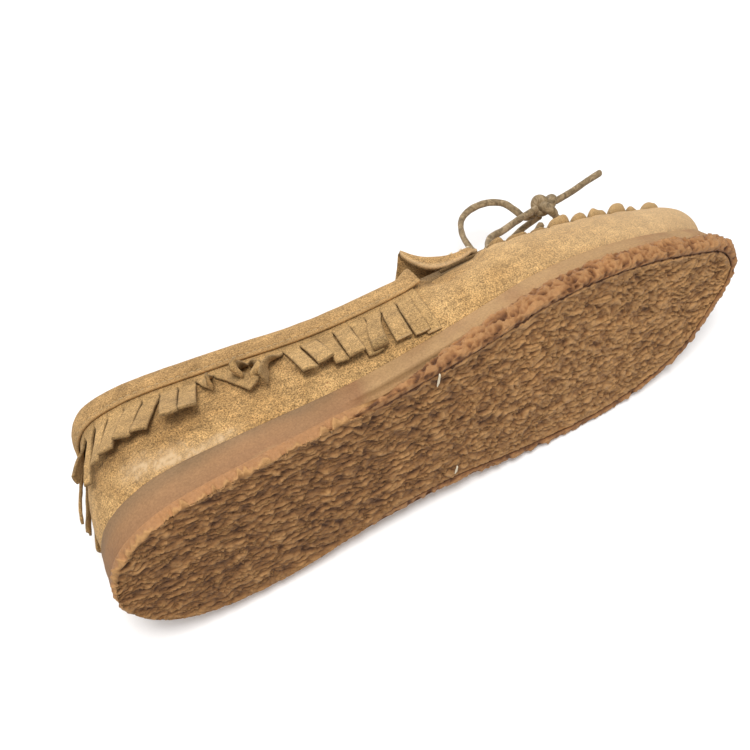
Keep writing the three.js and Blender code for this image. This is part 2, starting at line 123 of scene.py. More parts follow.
def closed_curve(points):
    """Centripetal Catmull-Rom through points, as a function of the share of the way round."""
    p = np.array([(*q, 0.0)[:3] for q in points], float)
    p[:, 0] -= SOLE_LENGTH / 2
    n = len(p)

    def at(t):
        s = np.mod(np.asarray(t, float), 1.0) * n
        i = np.floor(s).astype(int) % n
        a, b, c, d = (p[(i + k) % n] for k in (-1, 0, 1, 2))
        da, db, dc = (np.sqrt(np.linalg.norm(v, axis=-1, keepdims=True)) for v in (b - a, c - b, d - c))
        slope_b = ((b - a) / da - (c - a) / (da + db) + (c - b) / db) * db
        slope_c = ((c - b) / db - (d - b) / (db + dc) + (d - c) / dc) * db
        return hermite(b, c, slope_b, slope_c, (s - np.floor(s))[..., None])

    return at


sole_curve = closed_curve([(0, 0), *OUTER_SIDE, (SOLE_LENGTH, 0.5), *INNER_SIDE[::-1]])
edge_curve = closed_curve([(13, 0, 69), *OUTER_EDGE, (254.5, 1, 35.4), *INNER_EDGE[::-1]])


def from_heel(points):
    return points[..., 0] + SOLE_LENGTH / 2


def outward(t):
    along = unit(sole_curve(np.asarray(t) + 1e-4) - sole_curve(np.asarray(t) - 1e-4))
    return np.stack([along[..., 1], -along[..., 0], np.zeros(along.shape[:-1])], -1)


def outline(t, inset, height):
    p = sole_curve(t) - scaled(outward(t), inset)
    p[..., 2] = height(from_heel(p)) if callable(height) else height
    return p


def rim(t, inset, height):
    """The sole's outline, a little fuller at the outer side of the toe and leaner at the inner side."""
    p = sole_curve(t)
    u, side = from_heel(p), -p[..., 1] / 9
    fuller = 2.3 * smooth(232, 253, u) * clamp(side) - 2.4 * smooth(243, 256, u) * clamp(-side)
    return outline(t, inset - fuller, height)


# Heights along the sole, as functions of the distance from the heel.
def spring(u):
    return 1.5 * np.maximum(0, (u - 215) / (SOLE_LENGTH - 215)) ** 2


def tread_top(u):
    return TREAD + spring(u)


def midsole_top(u):
    return mix(18, 14.8, smooth(25, 105, u)) + spring(u)


def lining_floor(u):
    return midsole_top(u) + GAP


def forefoot(u):
    return smooth(84, 102, u)


# ---------- the upper's wall
BEZIER_STEPS = 48


def wall_table(t):
    """Sampled wall line at each t, from the feather line up to the top edge, with its running length."""
    foot, edge, out = outline(t, FEATHER_INSET, lining_floor), edge_curve(t), outward(t)
    u = from_heel(foot)[:, None]
    toeward = smooth(120, 175, u)
    rise = edge[:, 2:] - foot[:, 2:]
    bulge = mix(2.2, 3.2, toeward) + 7 * smooth(230, 252, u)
    low = foot + out * bulge + UP * mix(0.35, 0.4, toeward) * rise
    high = edge + out * mix(1.5, 5.5, toeward) - UP * mix(0.35, 0.12, toeward) * rise
    s = np.linspace(0, 1, BEZIER_STEPS + 1)[None, :, None]
    line = sum(k * q[:, None] for k, q in (((1 - s) ** 3, foot), (3 * s * (1 - s) ** 2, low),
                                           (3 * s * s * (1 - s), high), (s**3, edge)))
    steps = np.linalg.norm(np.diff(line, axis=1), axis=2)
    run = np.concatenate([np.zeros((len(t), 1)), np.cumsum(steps, 1)], 1)
    return line, run


def wall_points(t, drop):
    """Points of the wall's outer face; drop is the distance down from the top edge, below 0 past it."""
    t, drop = np.broadcast_arrays(np.asarray(t, float), np.asarray(drop, float))
    flat, back = np.unique(t.ravel(), return_inverse=True)
    line, run = wall_table(flat)
    length = run[back, -1] - np.maximum(drop.ravel(), 0)
    rows = run[back]
    k = np.clip((rows < length[:, None]).sum(1), 1, BEZIER_STEPS)
    i = np.arange(len(k))
    w = ((length - rows[i, k - 1]) / (rows[i, k] - rows[i, k - 1]))[:, None]
    p = mix(line[back, k - 1], line[back, k], w)
    top = unit(line[back, -1] - line[back, -2])
    p = p + top * np.maximum(-drop.ravel(), 0)[:, None]
    return p.reshape(*t.shape, 3)


def wall_frame(t, drop):
    """Point, outward normal, direction along the shoe and upward direction on the wall."""
    step_t, step_d = 8e-4, 0.25
    point = wall_points(t, drop)
    along = unit(wall_points(np.asarray(t) + step_t, drop) - wall_points(np.asarray(t) - step_t, drop))
    up = unit(wall_points(t, np.asarray(drop) - step_d) - wall_points(t, np.asarray(drop) + step_d))
    return point, unit(np.cross(along, up)), along, up


def beside(t, drop, offset):
    point, normal, _, _ = wall_frame(t, drop)
    return point + scaled(normal, offset)


def wall_length(t):
    return wall_table(np.atleast_1d(np.asarray(t, float)))[1][:, -1]


def evenly(count, end, drop):
    """Shares from -end to end that split the wall's line at a drop into equal lengths."""
    fine = np.linspace(-end, end, 1200)
    run = running(wall_points(fine, drop))
    return np.interp(np.linspace(0, run[-1], count + 1), run, fine)


# ---------- meshes
MERGE = 1e-6  # metres; points nearer than this become one
SLIVER = 1e-7


def add(name, data):
    obj = bpy.data.objects.new(name, data)
    bpy.context.scene.collection.objects.link(obj)
    return obj


def add_mesh(name, mesh, material):
    mesh.shade_smooth()
    mesh.materials.append(material)
    return add(name, mesh)


def make_object(name, vertices, faces, material, tone=None):
    """A mesh piece in metres; tone is one number a point for its material."""
    mesh = bpy.data.meshes.new(name)
    mesh.from_pydata((np.asarray(vertices) * MM).tolist(), [], faces)
    if tone is not None:
        values = np.asarray(tone, np.float32).ravel()
        mesh.attributes.new("tone", "FLOAT", "POINT").data.foreach_set("value", values)
    made = bmesh.new()
    made.from_mesh(mesh)
    bmesh.ops.remove_doubles(made, verts=made.verts, dist=MERGE)
    bmesh.ops.dissolve_degenerate(made, edges=made.edges, dist=SLIVER)
    bmesh.ops.recalc_face_normals(made, faces=made.faces)
    made.to_mesh(mesh)
    made.free()
    return add_mesh(name, mesh, material)


def grid_faces(rows, columns, close_rows=False, close_columns=False):
    i = np.arange(rows if close_rows else rows - 1)[:, None]
    j = np.arange(columns if close_columns else columns - 1)[None, :]
    a, b = i * columns + j, i * columns + (j + 1) % columns
    c, d = ((i + 1) % rows) * columns + (j + 1) % columns, ((i + 1) % rows) * columns + j
    return np.stack([a, b, c, d], -1).reshape(-1, 4)


def loop_solid(name, sections, material, closed=False, tone=None):
    """Sections are closed loops of points; the ends are capped unless the row of sections closes."""
    rows, columns = sections.shape[:2]
    faces = grid_faces(rows, columns, closed, True).tolist()
    if not closed:
        faces += [list(range(columns))[::-1], [(rows - 1) * columns + k for k in range(columns)]]
    return make_object(name, sections.reshape(-1, 3), faces, material, tone)


def skin(name, columns, material, closed=False, tones=None):
    """A loop solid from its columns, each of them the same point of every section."""
    tones = None if tones is None else np.array(tones).T
    return loop_solid(name, np.array(columns).transpose(1, 0, 2), material, closed, tones)


def sheet(name, face, back, material, tone=None, rounding=0.25):
    """A sheet between two grids of points, its cut edges slightly rounded along the rows' ends."""
    ends = []
    for k in (-1, 0):
        middle = (face[:, k] + back[:, k]) / 2
        beyond = k - 1 if k else 1
        inside = (face[:, beyond] + back[:, beyond]) / 2
        ends.append((middle + unit(middle - inside) * rounding)[:, None])
    section = np.concatenate([face, ends[0], back[:, ::-1], ends[1]], 1)
    if tone is not None:
        edge = np.ones((len(face), 1))
        tone = np.concatenate([tone, edge, tone[:, ::-1], edge], 1)
    return loop_solid(name, section, material, tone=tone)


def sweep(name, path, along, radius, material, sides, closed=False, flat=1.0):
    """A cord along a path, its section carried along without twisting; a closed one meets its start."""
    side = np.zeros_like(path)
    side[0] = unit(np.cross(along[0], [0.3, 0.2, 1.0]))
    for i in range(1, len(path)):
        side[i] = unit(side[i - 1] - along[i] * np.dot(side[i - 1], along[i]))
    other = np.cross(along, side)
    a = np.linspace(0, 2 * pi, sides, endpoint=False)[None]
    if closed:
        last = unit(side[-1] - along[0] * np.dot(side[-1], along[0]))
        twist = atan2(np.dot(last, other[0]), np.dot(last, side[0]))
        a = a - (twist * np.arange(len(path)) / len(path))[:, None]
    r = radius[:, None]
    loop = path[:, None] + scaled(side[:, None], r * np.cos(a)) + scaled(other[:, None], flat * r * np.sin(a))
    return loop_solid(name, loop, material, closed)


def tube(name, points, radius, material, steps, sides, ends, wobble, seed, flat=1.0):
    """A cord through points, its ends cut (0) or rounded (1); its radius wanders a little."""
    points = np.asarray(points, float)
    chord = running(points)
    s = np.linspace(0, chord[-1], steps)
    path = spline(points, chord, s)
    lumps = np.array([noise.noise(Vector((v * 0.35, seed * 7.1, 0))) for v in s])
    round_off = np.minimum(1, np.sqrt(np.clip(np.minimum(s, s[-1] - s) / (0.5 * radius), 0.02, 1)))
    r = radius * (1 + wobble * lumps) * mix(1, round_off, ends)
    return sweep(name, path, unit(np.gradient(path, axis=0)), r, material, sides, flat=flat)


def closed_tube(name, points, radius, material, steps=150, sides=18):
    """A cord whose ends meet, thicker and thinner three times round."""
    wide = np.concatenate([points[-3:], points, points[:4]])
    chord = running(wide)
    path = spline(wide, chord, np.linspace(chord[3], chord[3 + len(points)], steps, endpoint=False))
    along = unit(np.roll(path, -1, 0) - np.roll(path, 1, 0))
    r = radius * (1 + 0.1 * np.sin(3 * 2 * pi * np.arange(steps) / steps))
    return sweep(name, path, along, r, material, sides, closed=True)


def spline(points, chord, s):
    """Catmull-Rom through points, at running lengths s."""
    slopes = np.gradient(points, chord, axis=0)
    k = np.clip(np.searchsorted(chord, s, side="right") - 1, 0, len(points) - 2)
    h = (chord[k + 1] - chord[k])[:, None]
    return hermite(points[k], points[k + 1], slopes[k] * h, slopes[k + 1] * h, (s - chord[k])[:, None] / h)


def sample(function, points):
    return np.array([function(Vector(p)) for p in points.reshape(-1, 3)]).reshape(points.shape[:-1])


def soft(points, size, seed=0.0, octaves=2):
    """Smooth noise of about +-1 with bumps of the given size in millimetres."""
    return sample(lambda p: noise.fractal(p / size + Vector((seed, seed, seed)), 1.0, 2.0, octaves), points)


# ---------- material tools
def node(tree, kind, inputs=None, **properties):
    made = tree.nodes.new("ShaderNode" + kind)
    for key, value in properties.items():
        setattr(made, key, value)
    for key, value in (inputs or {}).items():
        socket = made.inputs[key]
        if isinstance(value, bpy.types.NodeSocket):
            tree.links.new(value, socket)
        else:
            socket.default_value = value
    return made


def noise_out(tree, scale, detail=4.0, rough=0.7, stretch=None, distortion=0.0):
    place = place_of(tree)
    if stretch:
        scales, turns = stretch
        place = node(tree, "Mapping", {"Vector": place, "Scale": scales, "Rotation": turns}).outputs[0]
    inputs = {"Vector": place, "Scale": scale, "Detail": detail, "Roughness": rough, "Distortion": distortion}
    return node(tree, "TexNoise", inputs).outputs["Fac"]


def ramp(tree, factor, stops):
    """A colour ramp; a stop's colour may be one number for a grey."""
    made = node(tree, "ValToRGB", {"Fac": factor})
    bar = made.color_ramp.elements
    while len(bar) < len(stops):
        bar.new(0.5)
    for element, (place, colour) in zip(bar, stops):
        element.position = place
        element.color = (*(colour if isinstance(colour, tuple) else (colour,) * 3), 1)
    return made.outputs["Color"]


def blend_colour(tree, factor, a, b, mode="MIX"):
    made = node(tree, "Mix", data_type="RGBA", blend_type=mode)
    for key, value in ((0, factor), (6, a), (7, b)):
        if isinstance(value, bpy.types.NodeSocket):
            tree.links.new(value, made.inputs[key])
        else:
            made.inputs[key].default_value = (*value, 1) if isinstance(value, tuple) else value
    return made.outputs[2]


def overlay(tree, colour, share, factor, stops):
    """Colour lightened and darkened by a ramp, where 0.5 leaves it as it is."""
    return blend_colour(tree, share, colour, ramp(tree, factor, stops), "OVERLAY")


def remap(tree, value, low, high, to_low=0.0, to_high=1.0):
    limits = {"Value": value, "From Min": low, "From Max": high, "To Min": to_low, "To Max": to_high}
    return node(tree, "MapRange", limits).outputs[0]


def bump(tree, height, distance, strength=1.0, under=None):
    inputs = {"Height": height, "Distance": distance, "Strength": strength}
    if under:
        inputs["Normal"] = under
    return node(tree, "Bump", inputs).outputs["Normal"]


def start_material(name, roughness, sheen=0.0, tint=(1, 1, 1)):
    made = bpy.data.materials.new(name)
    made.use_nodes = True
    inputs = made.node_tree.nodes["Principled BSDF"].inputs
    for key, value in {"Roughness": roughness, "Specular IOR Level": 0.3, "Sheen Weight": sheen,
                       "Sheen Roughness": 0.5, "Sheen Tint": (*tint, 1)}.items():
        inputs[key].default_value = value
    return made, made.node_tree


def finished(made, colour, normal):
    inputs = made.node_tree.nodes["Principled BSDF"].inputs
    made.node_tree.links.new(colour, inputs["Base Color"])
    made.node_tree.links.new(normal, inputs["Normal"])
    return made


def tone_of(tree):
    return node(tree, "Attribute", attribute_name="tone").outputs["Fac"]


def place_of(tree):
    return node(tree, "TexCoord").outputs["Object"]


def figure(tree, operation, a, b):
    """One sum on two numbers."""
    return node(tree, "Math", {0: a, 1: b}, operation=operation).outputs[0]


def suede_material(name, dark, light, pale, speckle, patches):
    """Napped suede: broad patches, fine speckle, a toe painted paler as light. Tone 1 is a rubbed edge, -1
    the painted shade of a deep crease.
    """
    made, tree = start_material(name, 0.95, 0.35, pale)
    broad = noise_out(tree, 38, 3, 0.65, distortion=0.6)
    middle = noise_out(tree, 210, stretch=((1, 1.6, 1.6), (0.2, 0.3, 0.1)))
    fine = noise_out(tree, 1900, 4, 0.8)
    colour = ramp(tree, broad, [(0.32, dark), (0.68, light)])
    colour = overlay(tree, colour, patches, middle, [(0.3, 0.35), (0.5, 0.5), (0.72, 0.66)])
    colour = overlay(tree, colour, speckle, fine, [(0.38, 0.14), (0.5, 0.5), (0.62, 0.86)])
    along = node(tree, "SeparateXYZ", {0: place_of(tree)}).outputs[0]
    # painted light: the colour turns paler towards the toe
    colour = blend_colour(tree, remap(tree, along, 0.02, 0.12, 0, 0.6), colour, pale)
    tone = tone_of(tree)
    colour = blend_colour(tree, tone, colour, pale)
    # painted shade: a tone below 0 darkens the colour
    colour = blend_colour(tree, 1.0, colour, remap(tree, tone, -1, 0, 0.2, 1), "MULTIPLY")
    return finished(made, colour, bump(tree, middle, 0.0006, 0.5, bump(tree, fine, 0.00022, 0.75)))


def crepe_material(name, hollow_shade, middle, ridge, glow):
    """Crepe rubber: tone runs from the hollows (0) over the ridges (1) to the raw orange edge (2); the
    hollows are painted near black as shade.
    """
    made, tree = start_material(name, 0.5)
    height = figure(tree, "MULTIPLY", tone_of(tree), 0.5)
    between = tuple(mix(p, q, 0.6) for p, q in zip(ridge, glow))
    # painted shade: near black down in the hollows of the relief
    colour = ramp(tree, height, [(0.04, hollow_shade), (0.24, middle), (0.5, ridge), (0.62, between), (0.95, glow)])
    stains = [(0.3, (0.42, 0.42, 0.41)), (0.5, 0.5), (0.7, (0.58, 0.55, 0.5))]
    colour = overlay(tree, colour, 0.5, noise_out(tree, 45, 4, 0.65), stains)
    fine = noise_out(tree, 900)
    colour = overlay(tree, colour, 0.5, fine, [(0.3, 0.36), (0.7, 0.66)])
    skin = bump(tree, fine, 0.0004, 0.7)
    return finished(made, colour, bump(tree, noise_out(tree, 420, 5), 0.0012, 0.7, skin))


def midsole_material():
    """Fine-grained rubber, greyer towards the top (tone 1) and warmer towards the tread."""
    made, tree = start_material("midsole_rubber", 0.7)
    colour = ramp(tree, tone_of(tree), [(0.0, (0.39, 0.235, 0.106)), (0.22, (0.30, 0.154, 0.07)),
                                        (0.6, (0.31, 0.168, 0.077)), (1.0, (0.24, 0.145, 0.072))])
    colour = overlay(tree, colour, 0.6, noise_out(tree, 1300, 3), [(0.32, 0.37), (0.68, 0.63)])
    colour = overlay(tree, colour, 0.8, noise_out(tree, 60, 4, 0.6), [(0.3, 0.45), (0.7, 0.56)])
    return finished(made, colour, bump(tree, noise_out(tree, 1100), 0.0002, 0.7))


def lace_material():
    made, tree = start_material("rawhide_lace", 0.6, 0.15, (0.5, 0.4, 0.3))
    colour = ramp(tree, noise_out(tree, 260, 5, distortion=1.5), [
        (0.35, (0.12, 0.083, 0.042)), (0.5, (0.25, 0.178, 0.095)), (0.66, (0.42, 0.31, 0.185))])
    return finished(made, colour, bump(tree, noise_out(tree, 900), 0.0004, 0.6))


def plain_material(name, colour, roughness, scale, depth=0.0002):
    """A woven or fibrous matt surface with slight variation."""
    made, tree = start_material(name, roughness)
    grain = noise_out(tree, scale)
    colour = overlay(tree, colour, 0.7, grain, [(0.3, 0.38), (0.7, 0.62)])
    return finished(made, colour, bump(tree, grain, depth, 0.7))


# Suede: dark, light, pale (rubbed and cut edges, and the painted light on the toe); then how strong the
# speckle and the patches are.
SUEDE_MAT = suede_material("suede", (0.325, 0.18, 0.062), (0.515, 0.32, 0.132), (0.60, 0.42, 0.24), 0.95, 1.0)
BAND_MAT = suede_material("suede_binding", (0.31, 0.18, 0.07), (0.44, 0.265, 0.108), (0.48, 0.32, 0.15),
                          0.75, 0.8)
FRINGE_MAT = suede_material("suede_fringe", (0.33, 0.20, 0.08), (0.475, 0.295, 0.12), (0.49, 0.33, 0.17),
                            0.75, 0.9)
# Crepe: hollow (painted shade), middle, ridge, raw edge.
CREPE_MAT = crepe_material("crepe", (0.075, 0.029, 0.010), (0.25, 0.116, 0.038),
                           (0.49, 0.265, 0.102), (0.395, 0.195, 0.08))
RAND_MAT = crepe_material("crepe_rand", (0.06, 0.02, 0.007), (0.165, 0.066, 0.021),
                          (0.30, 0.135, 0.047), (0.42, 0.215, 0.085))
MIDSOLE_MAT = midsole_material()
LACE_MAT = lace_material()
THREAD_MAT = plain_material("sewing_thread", (0.44, 0.31, 0.16), 0.6, 2500)
PALE_MAT = plain_material("pale_thread", (0.72, 0.62, 0.46), 0.5, 2500)
LINING_MAT = plain_material("sock_leather", (0.42, 0.28, 0.15), 0.6, 500, 0.0003)
BOARD_MAT = plain_material("fibre_board", (0.36, 0.29, 0.20), 0.9, 1200)
FOAM_MAT = plain_material("foam", (0.70, 0.62, 0.45), 0.9, 1500)


def keep(obj, slot, *nodes, body="shoe"):
    """Ride a piece on a body and hide the CAD nodes it stands for; slot is not used."""
    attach(obj, body)
    if nodes:
        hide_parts(*nodes)


# ---------- outline helpers
def half_shares(count):
    """Shares from heel (0) to toe (0.5), evenly spaced by the mean length of the two sides."""
    fine = np.linspace(0, 0.5, 3001)
    run = running(sole_curve(fine)) + running(sole_curve(1 - fine))
    return np.interp(np.linspace(0, run[-1], count), run, fine)


def loop_shares(half):
    return np.concatenate([half, 1 - half[-2:0:-1]])


def ladder(first, count, flip):
    """Faces across a closed ring of points, from one side to the other."""
    faces = []
    for i in range(count // 2):
        a, b, c, d = first + i, first + i + 1, first + (count - i - 1) % count, first + (count - i) % count
        face = [a, b, c] if i == 0 else [a, b, c, d] if b != c else [a, b, d]
        faces.append(face[::-1] if flip else face)
    return faces


def slab(name, rings, material, tone=None):
    rings = np.array(rings)
    levels, count = rings.shape[:2]
    faces = grid_faces(levels, count, False, True).tolist()
    faces += ladder(0, count, False) + ladder((levels - 1) * count, count, True)
    return make_object(name, rings.reshape(-1, 3), faces, material, tone)


# ---------- crepe sole
TREAD_BORDER = 3.0  # the relief is lower within this distance of the rim
TREAD_RELIEF = 1.9
RAND_START = 78  # distance from the heel


def crinkle(points):
    """Crepe relief, 0 in the hollows and 1 on the ridges: long wrinkles at the heel, cells further on."""
    fore = smooth(60, 150, from_heel(points).ravel())
    values = np.empty(len(fore))
    turn_c, turn_s = cos(0.2), sin(0.2)
    for i, (p, f) in enumerate(zip(points.reshape(-1, 3), fore)):
        x, y = p[0] * turn_c + p[1] * turn_s, p[1] * turn_c - p[0] * turn_s
        warp = noise.noise_vector(Vector((x / 6.5, y / 4.5, 3.7)))
        a = Vector((x / mix(4.8, 3.7, f) + warp[0], y / mix(2.2, 2.7, f) + warp[1], 1.5))
        near = noise.voronoi(a)[0]
        cell = min(1.0, (near[1] - near[0]) / 0.4)
        fold = 1 - min(1, abs(noise.noise(Vector((a[0] * 0.8, a[1] * 1.15, 7.7)))) / 0.34)
        crease = 1 - min(1, abs(noise.noise(Vector((a[0] * 1.9, a[1] * 1.9, 27.7)))) / 0.4)
        grain = noise.noise(Vector((x / 1.5, y / 1.1, 9.1)))
        tilt = max(-0.5, min(0.5, 1.6 * noise.noise(Vector((x / 4.4, y / 2.6, 4.4)))))
        values[i] = mix(0.22, 0.36, f) * cell**0.8 + 0.44 * fold**1.7 + 0.26 * crease**1.6
        values[i] += 0.22 * grain + 0.2 * tilt + 0.12
    return clamp(values).reshape(points.shape[:-1])


def tread():
    """The crepe sole: a crinkled underside, a ragged border and a smooth top against the midsole."""
    def ring_at(shares, inset):
        return rim(shares, inset + TREAD_STEP * forefoot(from_heel(sole_curve(shares))), spring)

    half, across = half_shares(470), np.linspace(0, 1, 134)
    outer, inner = ring_at(half, 0.75), ring_at(1 - half, 0.75)
    grid = outer[:, None] + (inner - outer)[:, None] * across[None, :, None]
    value = crinkle(grid)
    width = np.linalg.norm(inner - outer, axis=1)[:, None]
    near_rim = np.minimum(np.minimum(across, 1 - across) * width, TREAD_BORDER) / TREAD_BORDER
    grid[..., 2] += 0.1 + TREAD_RELIEF * (1 - value) * mix(0.4, 1, near_rim)
    value = value + 0.45 * (1 - near_rim) * (1 - value)
    value = value + 0.14 * smooth(90, 200, from_heel(grid)) - 0.04
    loop = loop_shares(half)
    edge = ring_at(loop, 0)
    lumps = soft(edge, 3.4, 4.0) + 0.9 * soft(edge, 1.5, 14.0)
    shaded = forefoot(from_heel(edge))
    rings, tones = [], []
    # up the border: share of the tread's height, inset, tone
    for share, inset, shade in ((0.16, 0.3, 1.0), (0.26, 0.08, 1.15), (0.36, 0.02, 1.5), (0.5, 0.08, 1.9),
                                (0.65, 0.08, 2.0), (0.8, 0.08, 2.0), (0.95, 0.12, 1.95), (1.05, 0.35, 1.9)):
        ragged = mix(2.0, 0.7, shaded) * lumps * (1 - smooth(0.3, 0.8, share))
        ring = ring_at(loop, inset - ragged)
        ring[:, 2] += TREAD * share + ragged + 0.05 * soft(ring + UP * TREAD * share, 1.6, 8.0)
        ring[:, 2] = np.maximum(ring[:, 2], spring(from_heel(ring)) + 0.3)
        rings.append(ring)
        tones.append(mix(shade + 0.3 * soft(ring + UP * share * 6, 3.0, 2.0), 0.3 * share, shaded))
    rows, columns = grid.shape[:2]
    count, first = len(loop), rows * columns
    border = [i * columns for i in range(rows)] + [i * columns + columns - 1 for i in range(rows - 2, 0, -1)]
    faces = grid_faces(rows, columns).tolist()
    for i in range(count):
        j = (i + 1) % count
        faces.append([border[i], border[j], first + j, first + i])
    faces += (grid_faces(len(rings), count, False, True) + first).tolist()
    faces += ladder(first + (len(rings) - 1) * count, count, True)
    vertices = np.concatenate([grid.reshape(-1, 3), np.array(rings).reshape(-1, 3)])
    tone = np.concatenate([value.ravel(), np.array(tones).ravel()])
    keep(make_object("crepe_tread_skin", vertices, faces, CREPE_MAT, tone), "crepe", "crepe_tread")


def rand():
    """The rough crepe strip round the forefoot, lumpy on its face and running out to nothing at the waist."""
    loop = loop_shares(half_shares(1200))
    t = loop[from_heel(sole_curve(loop)) > RAND_START][::2]
    u = from_heel(sole_curve(t))
    grow, start = smooth(84, 150, u), smooth(RAND_START, 96, u)
    head, foot = mix(1.5, 7.3, grow), mix(0.9, 0.5, grow)
    face, inner = mix(0.15, -1.0, grow) + 0.2 * (1 - start), mix(0.9, 3.05, start)
    rough = mix(0.4, 1, grow)

    def rounding(s):
        return 0.8 * (1 - sin(pi * s) ** 0.8) * mix(0.4, 2.4, grow)

    # once round the strip: inwards along its underside, up the face, over the top and down behind
    route = [("under", v) for v in np.linspace(0.04, 1, 16)] + [("face", v) for v in np.linspace(0.06, 1, 26)]
    route += [("behind", v) for v in (1, 0.5, 0)]
    columns, tones = [], []
    for part, s in route:
        if part == "behind":
            p = rim(t, inner, spring)
            p[:, 2] += mix(foot, head, s)
            columns.append(p)
            tones.append(np.full(len(t), 0.4))
            continue
        under = part == "under"
        if under:
            p = rim(t, mix(inner, face + rounding(0.12), s), spring)
            p[:, 2] += foot - 0.35 * sin(pi * s) * grow
        else:
            p = rim(t, face + rounding(0.12 + 0.76 * s), spring)
            p[:, 2] += mix(foot, head, s)
        lump = soft(p * [1, 1, 1.1], 4.0, 20.0, 3)
        knob = 1 - 2.6 * np.abs(soft(p * [1, 1, 1.1], 3.0, 33.0))
        share = s if under else 1.0
        push = (lump + 0.75 * knob - 0.3) * rough * smooth(0, 0.2, share)
        p += scaled(outward(t), push * (0.5 if under else 1.0))
        p[:, 2] += 0.45 * push * (-1.2 if under else 1.0)
        columns.append(p)
        shade = 0.76 + 0.85 * lump + 0.65 * knob + 0.15 * smooth(190, 250, u)
        tones.append(np.clip(shade, 0.25, 1.9) * mix(0.55, 1, smooth(0, 0.35, share)))
    keep(skin("crepe_rand_skin", columns, RAND_MAT, tones=tones), "crepe", "crepe_rand")


def midsole():
    """The smooth wedge; in the forefoot it stands back behind the rand and comes out again above it."""
    loop = loop_shares(half_shares(380))
    fore = forefoot(from_heel(sole_curve(loop)))
    rings, tones = [], []
    for s in np.linspace(0, 1, 30):
        ring = rim(loop, 0, lambda u: mix(tread_top(u) - 0.3, midsole_top(u), s))
        level = ring[:, 2] - spring(from_heel(ring))
        behind = fore * (1 - smooth(RAND_LEVEL - 0.8, RAND_LEVEL + 0.1, level))
        rounding = 0.5 * (1 - sqrt(max(0.0, 1 - max(0, (s - 0.94) / 0.06) ** 2)))
        inset = mix(0.2, 0.85, smooth(0, 0.5, s)) + smooth(0.45, 1, s) + 3.4 * behind + 0.3 * fore + rounding
        ring -= scaled(outward(loop), inset)
        ring += scaled(outward(loop), 0.13 * soft(ring, 6.0, 50.0, 3))
        rings.append(ring)
        tones.append((0.25 + 0.75 * s) * (1 - 0.95 * fore) + 0.15 * soft(ring, 12.0, 61.0))
    keep(slab("midsole_wedge", rings, MIDSOLE_MAT, np.array(tones)), "midsole", "midsole")


# ---------- suede upper
PITCH = 8.7
LOBE_REACH = 8.0
GATHER = 13  # the wall's columns are closer together above this drop
THROAT_DIP = 4.8
BIG_ROLL = 0.405  # its place along the plug seam, as a share from either end
# Rubbed spots on the outer side: distance from the heel and reach, height and reach.
SCUFFS = ((33, 7, 22, 3.8), (23, 5, 26, 4), (47, 9, 19.5, 1.8))


def seam_position():
    """Running length along the top edge from the outer plug seam start, as a function of t."""
    fine = np.linspace(0, 1, 6001)
    run = running(edge_curve(fine))
    start = np.interp(PLUG_START, fine, run)
    return lambda t: np.interp(np.mod(t, 1), fine, run) - start


seam_at = seam_position()
SEAM_LENGTH = float(seam_at(1 - PLUG_START))
LOBES = round(SEAM_LENGTH / PITCH)


def lobes(t, drop):
    """Height of the puckers round the plug seam, 0 at a pinch and 1 on a roll, and their strength."""
    where = seam_at(t) / SEAM_LENGTH
    slant = np.where(where > 0.5, -0.32, 0.32) * drop / PITCH
    wander = 0.13 * np.sin(where * 57) + 0.1 * np.sin(where * 131 + 1)
    phase = where * LOBES + slant + wander
    roll = np.abs(np.sin(pi * phase)) ** 0.62
    uneven = 0.8 + 0.2 * np.sin(np.floor(phase) * 2.4 + 0.7)
    return roll, uneven * smooth(-0.055, 0.03, where) * smooth(-0.055, 0.03, 1 - where)


def throat_dip(u):
    """Where the edge sinks under the flap's sides; the suede there is also painted darker as shade."""
    return smooth(139, 148, u) * (1 - smooth(160, 170, u))


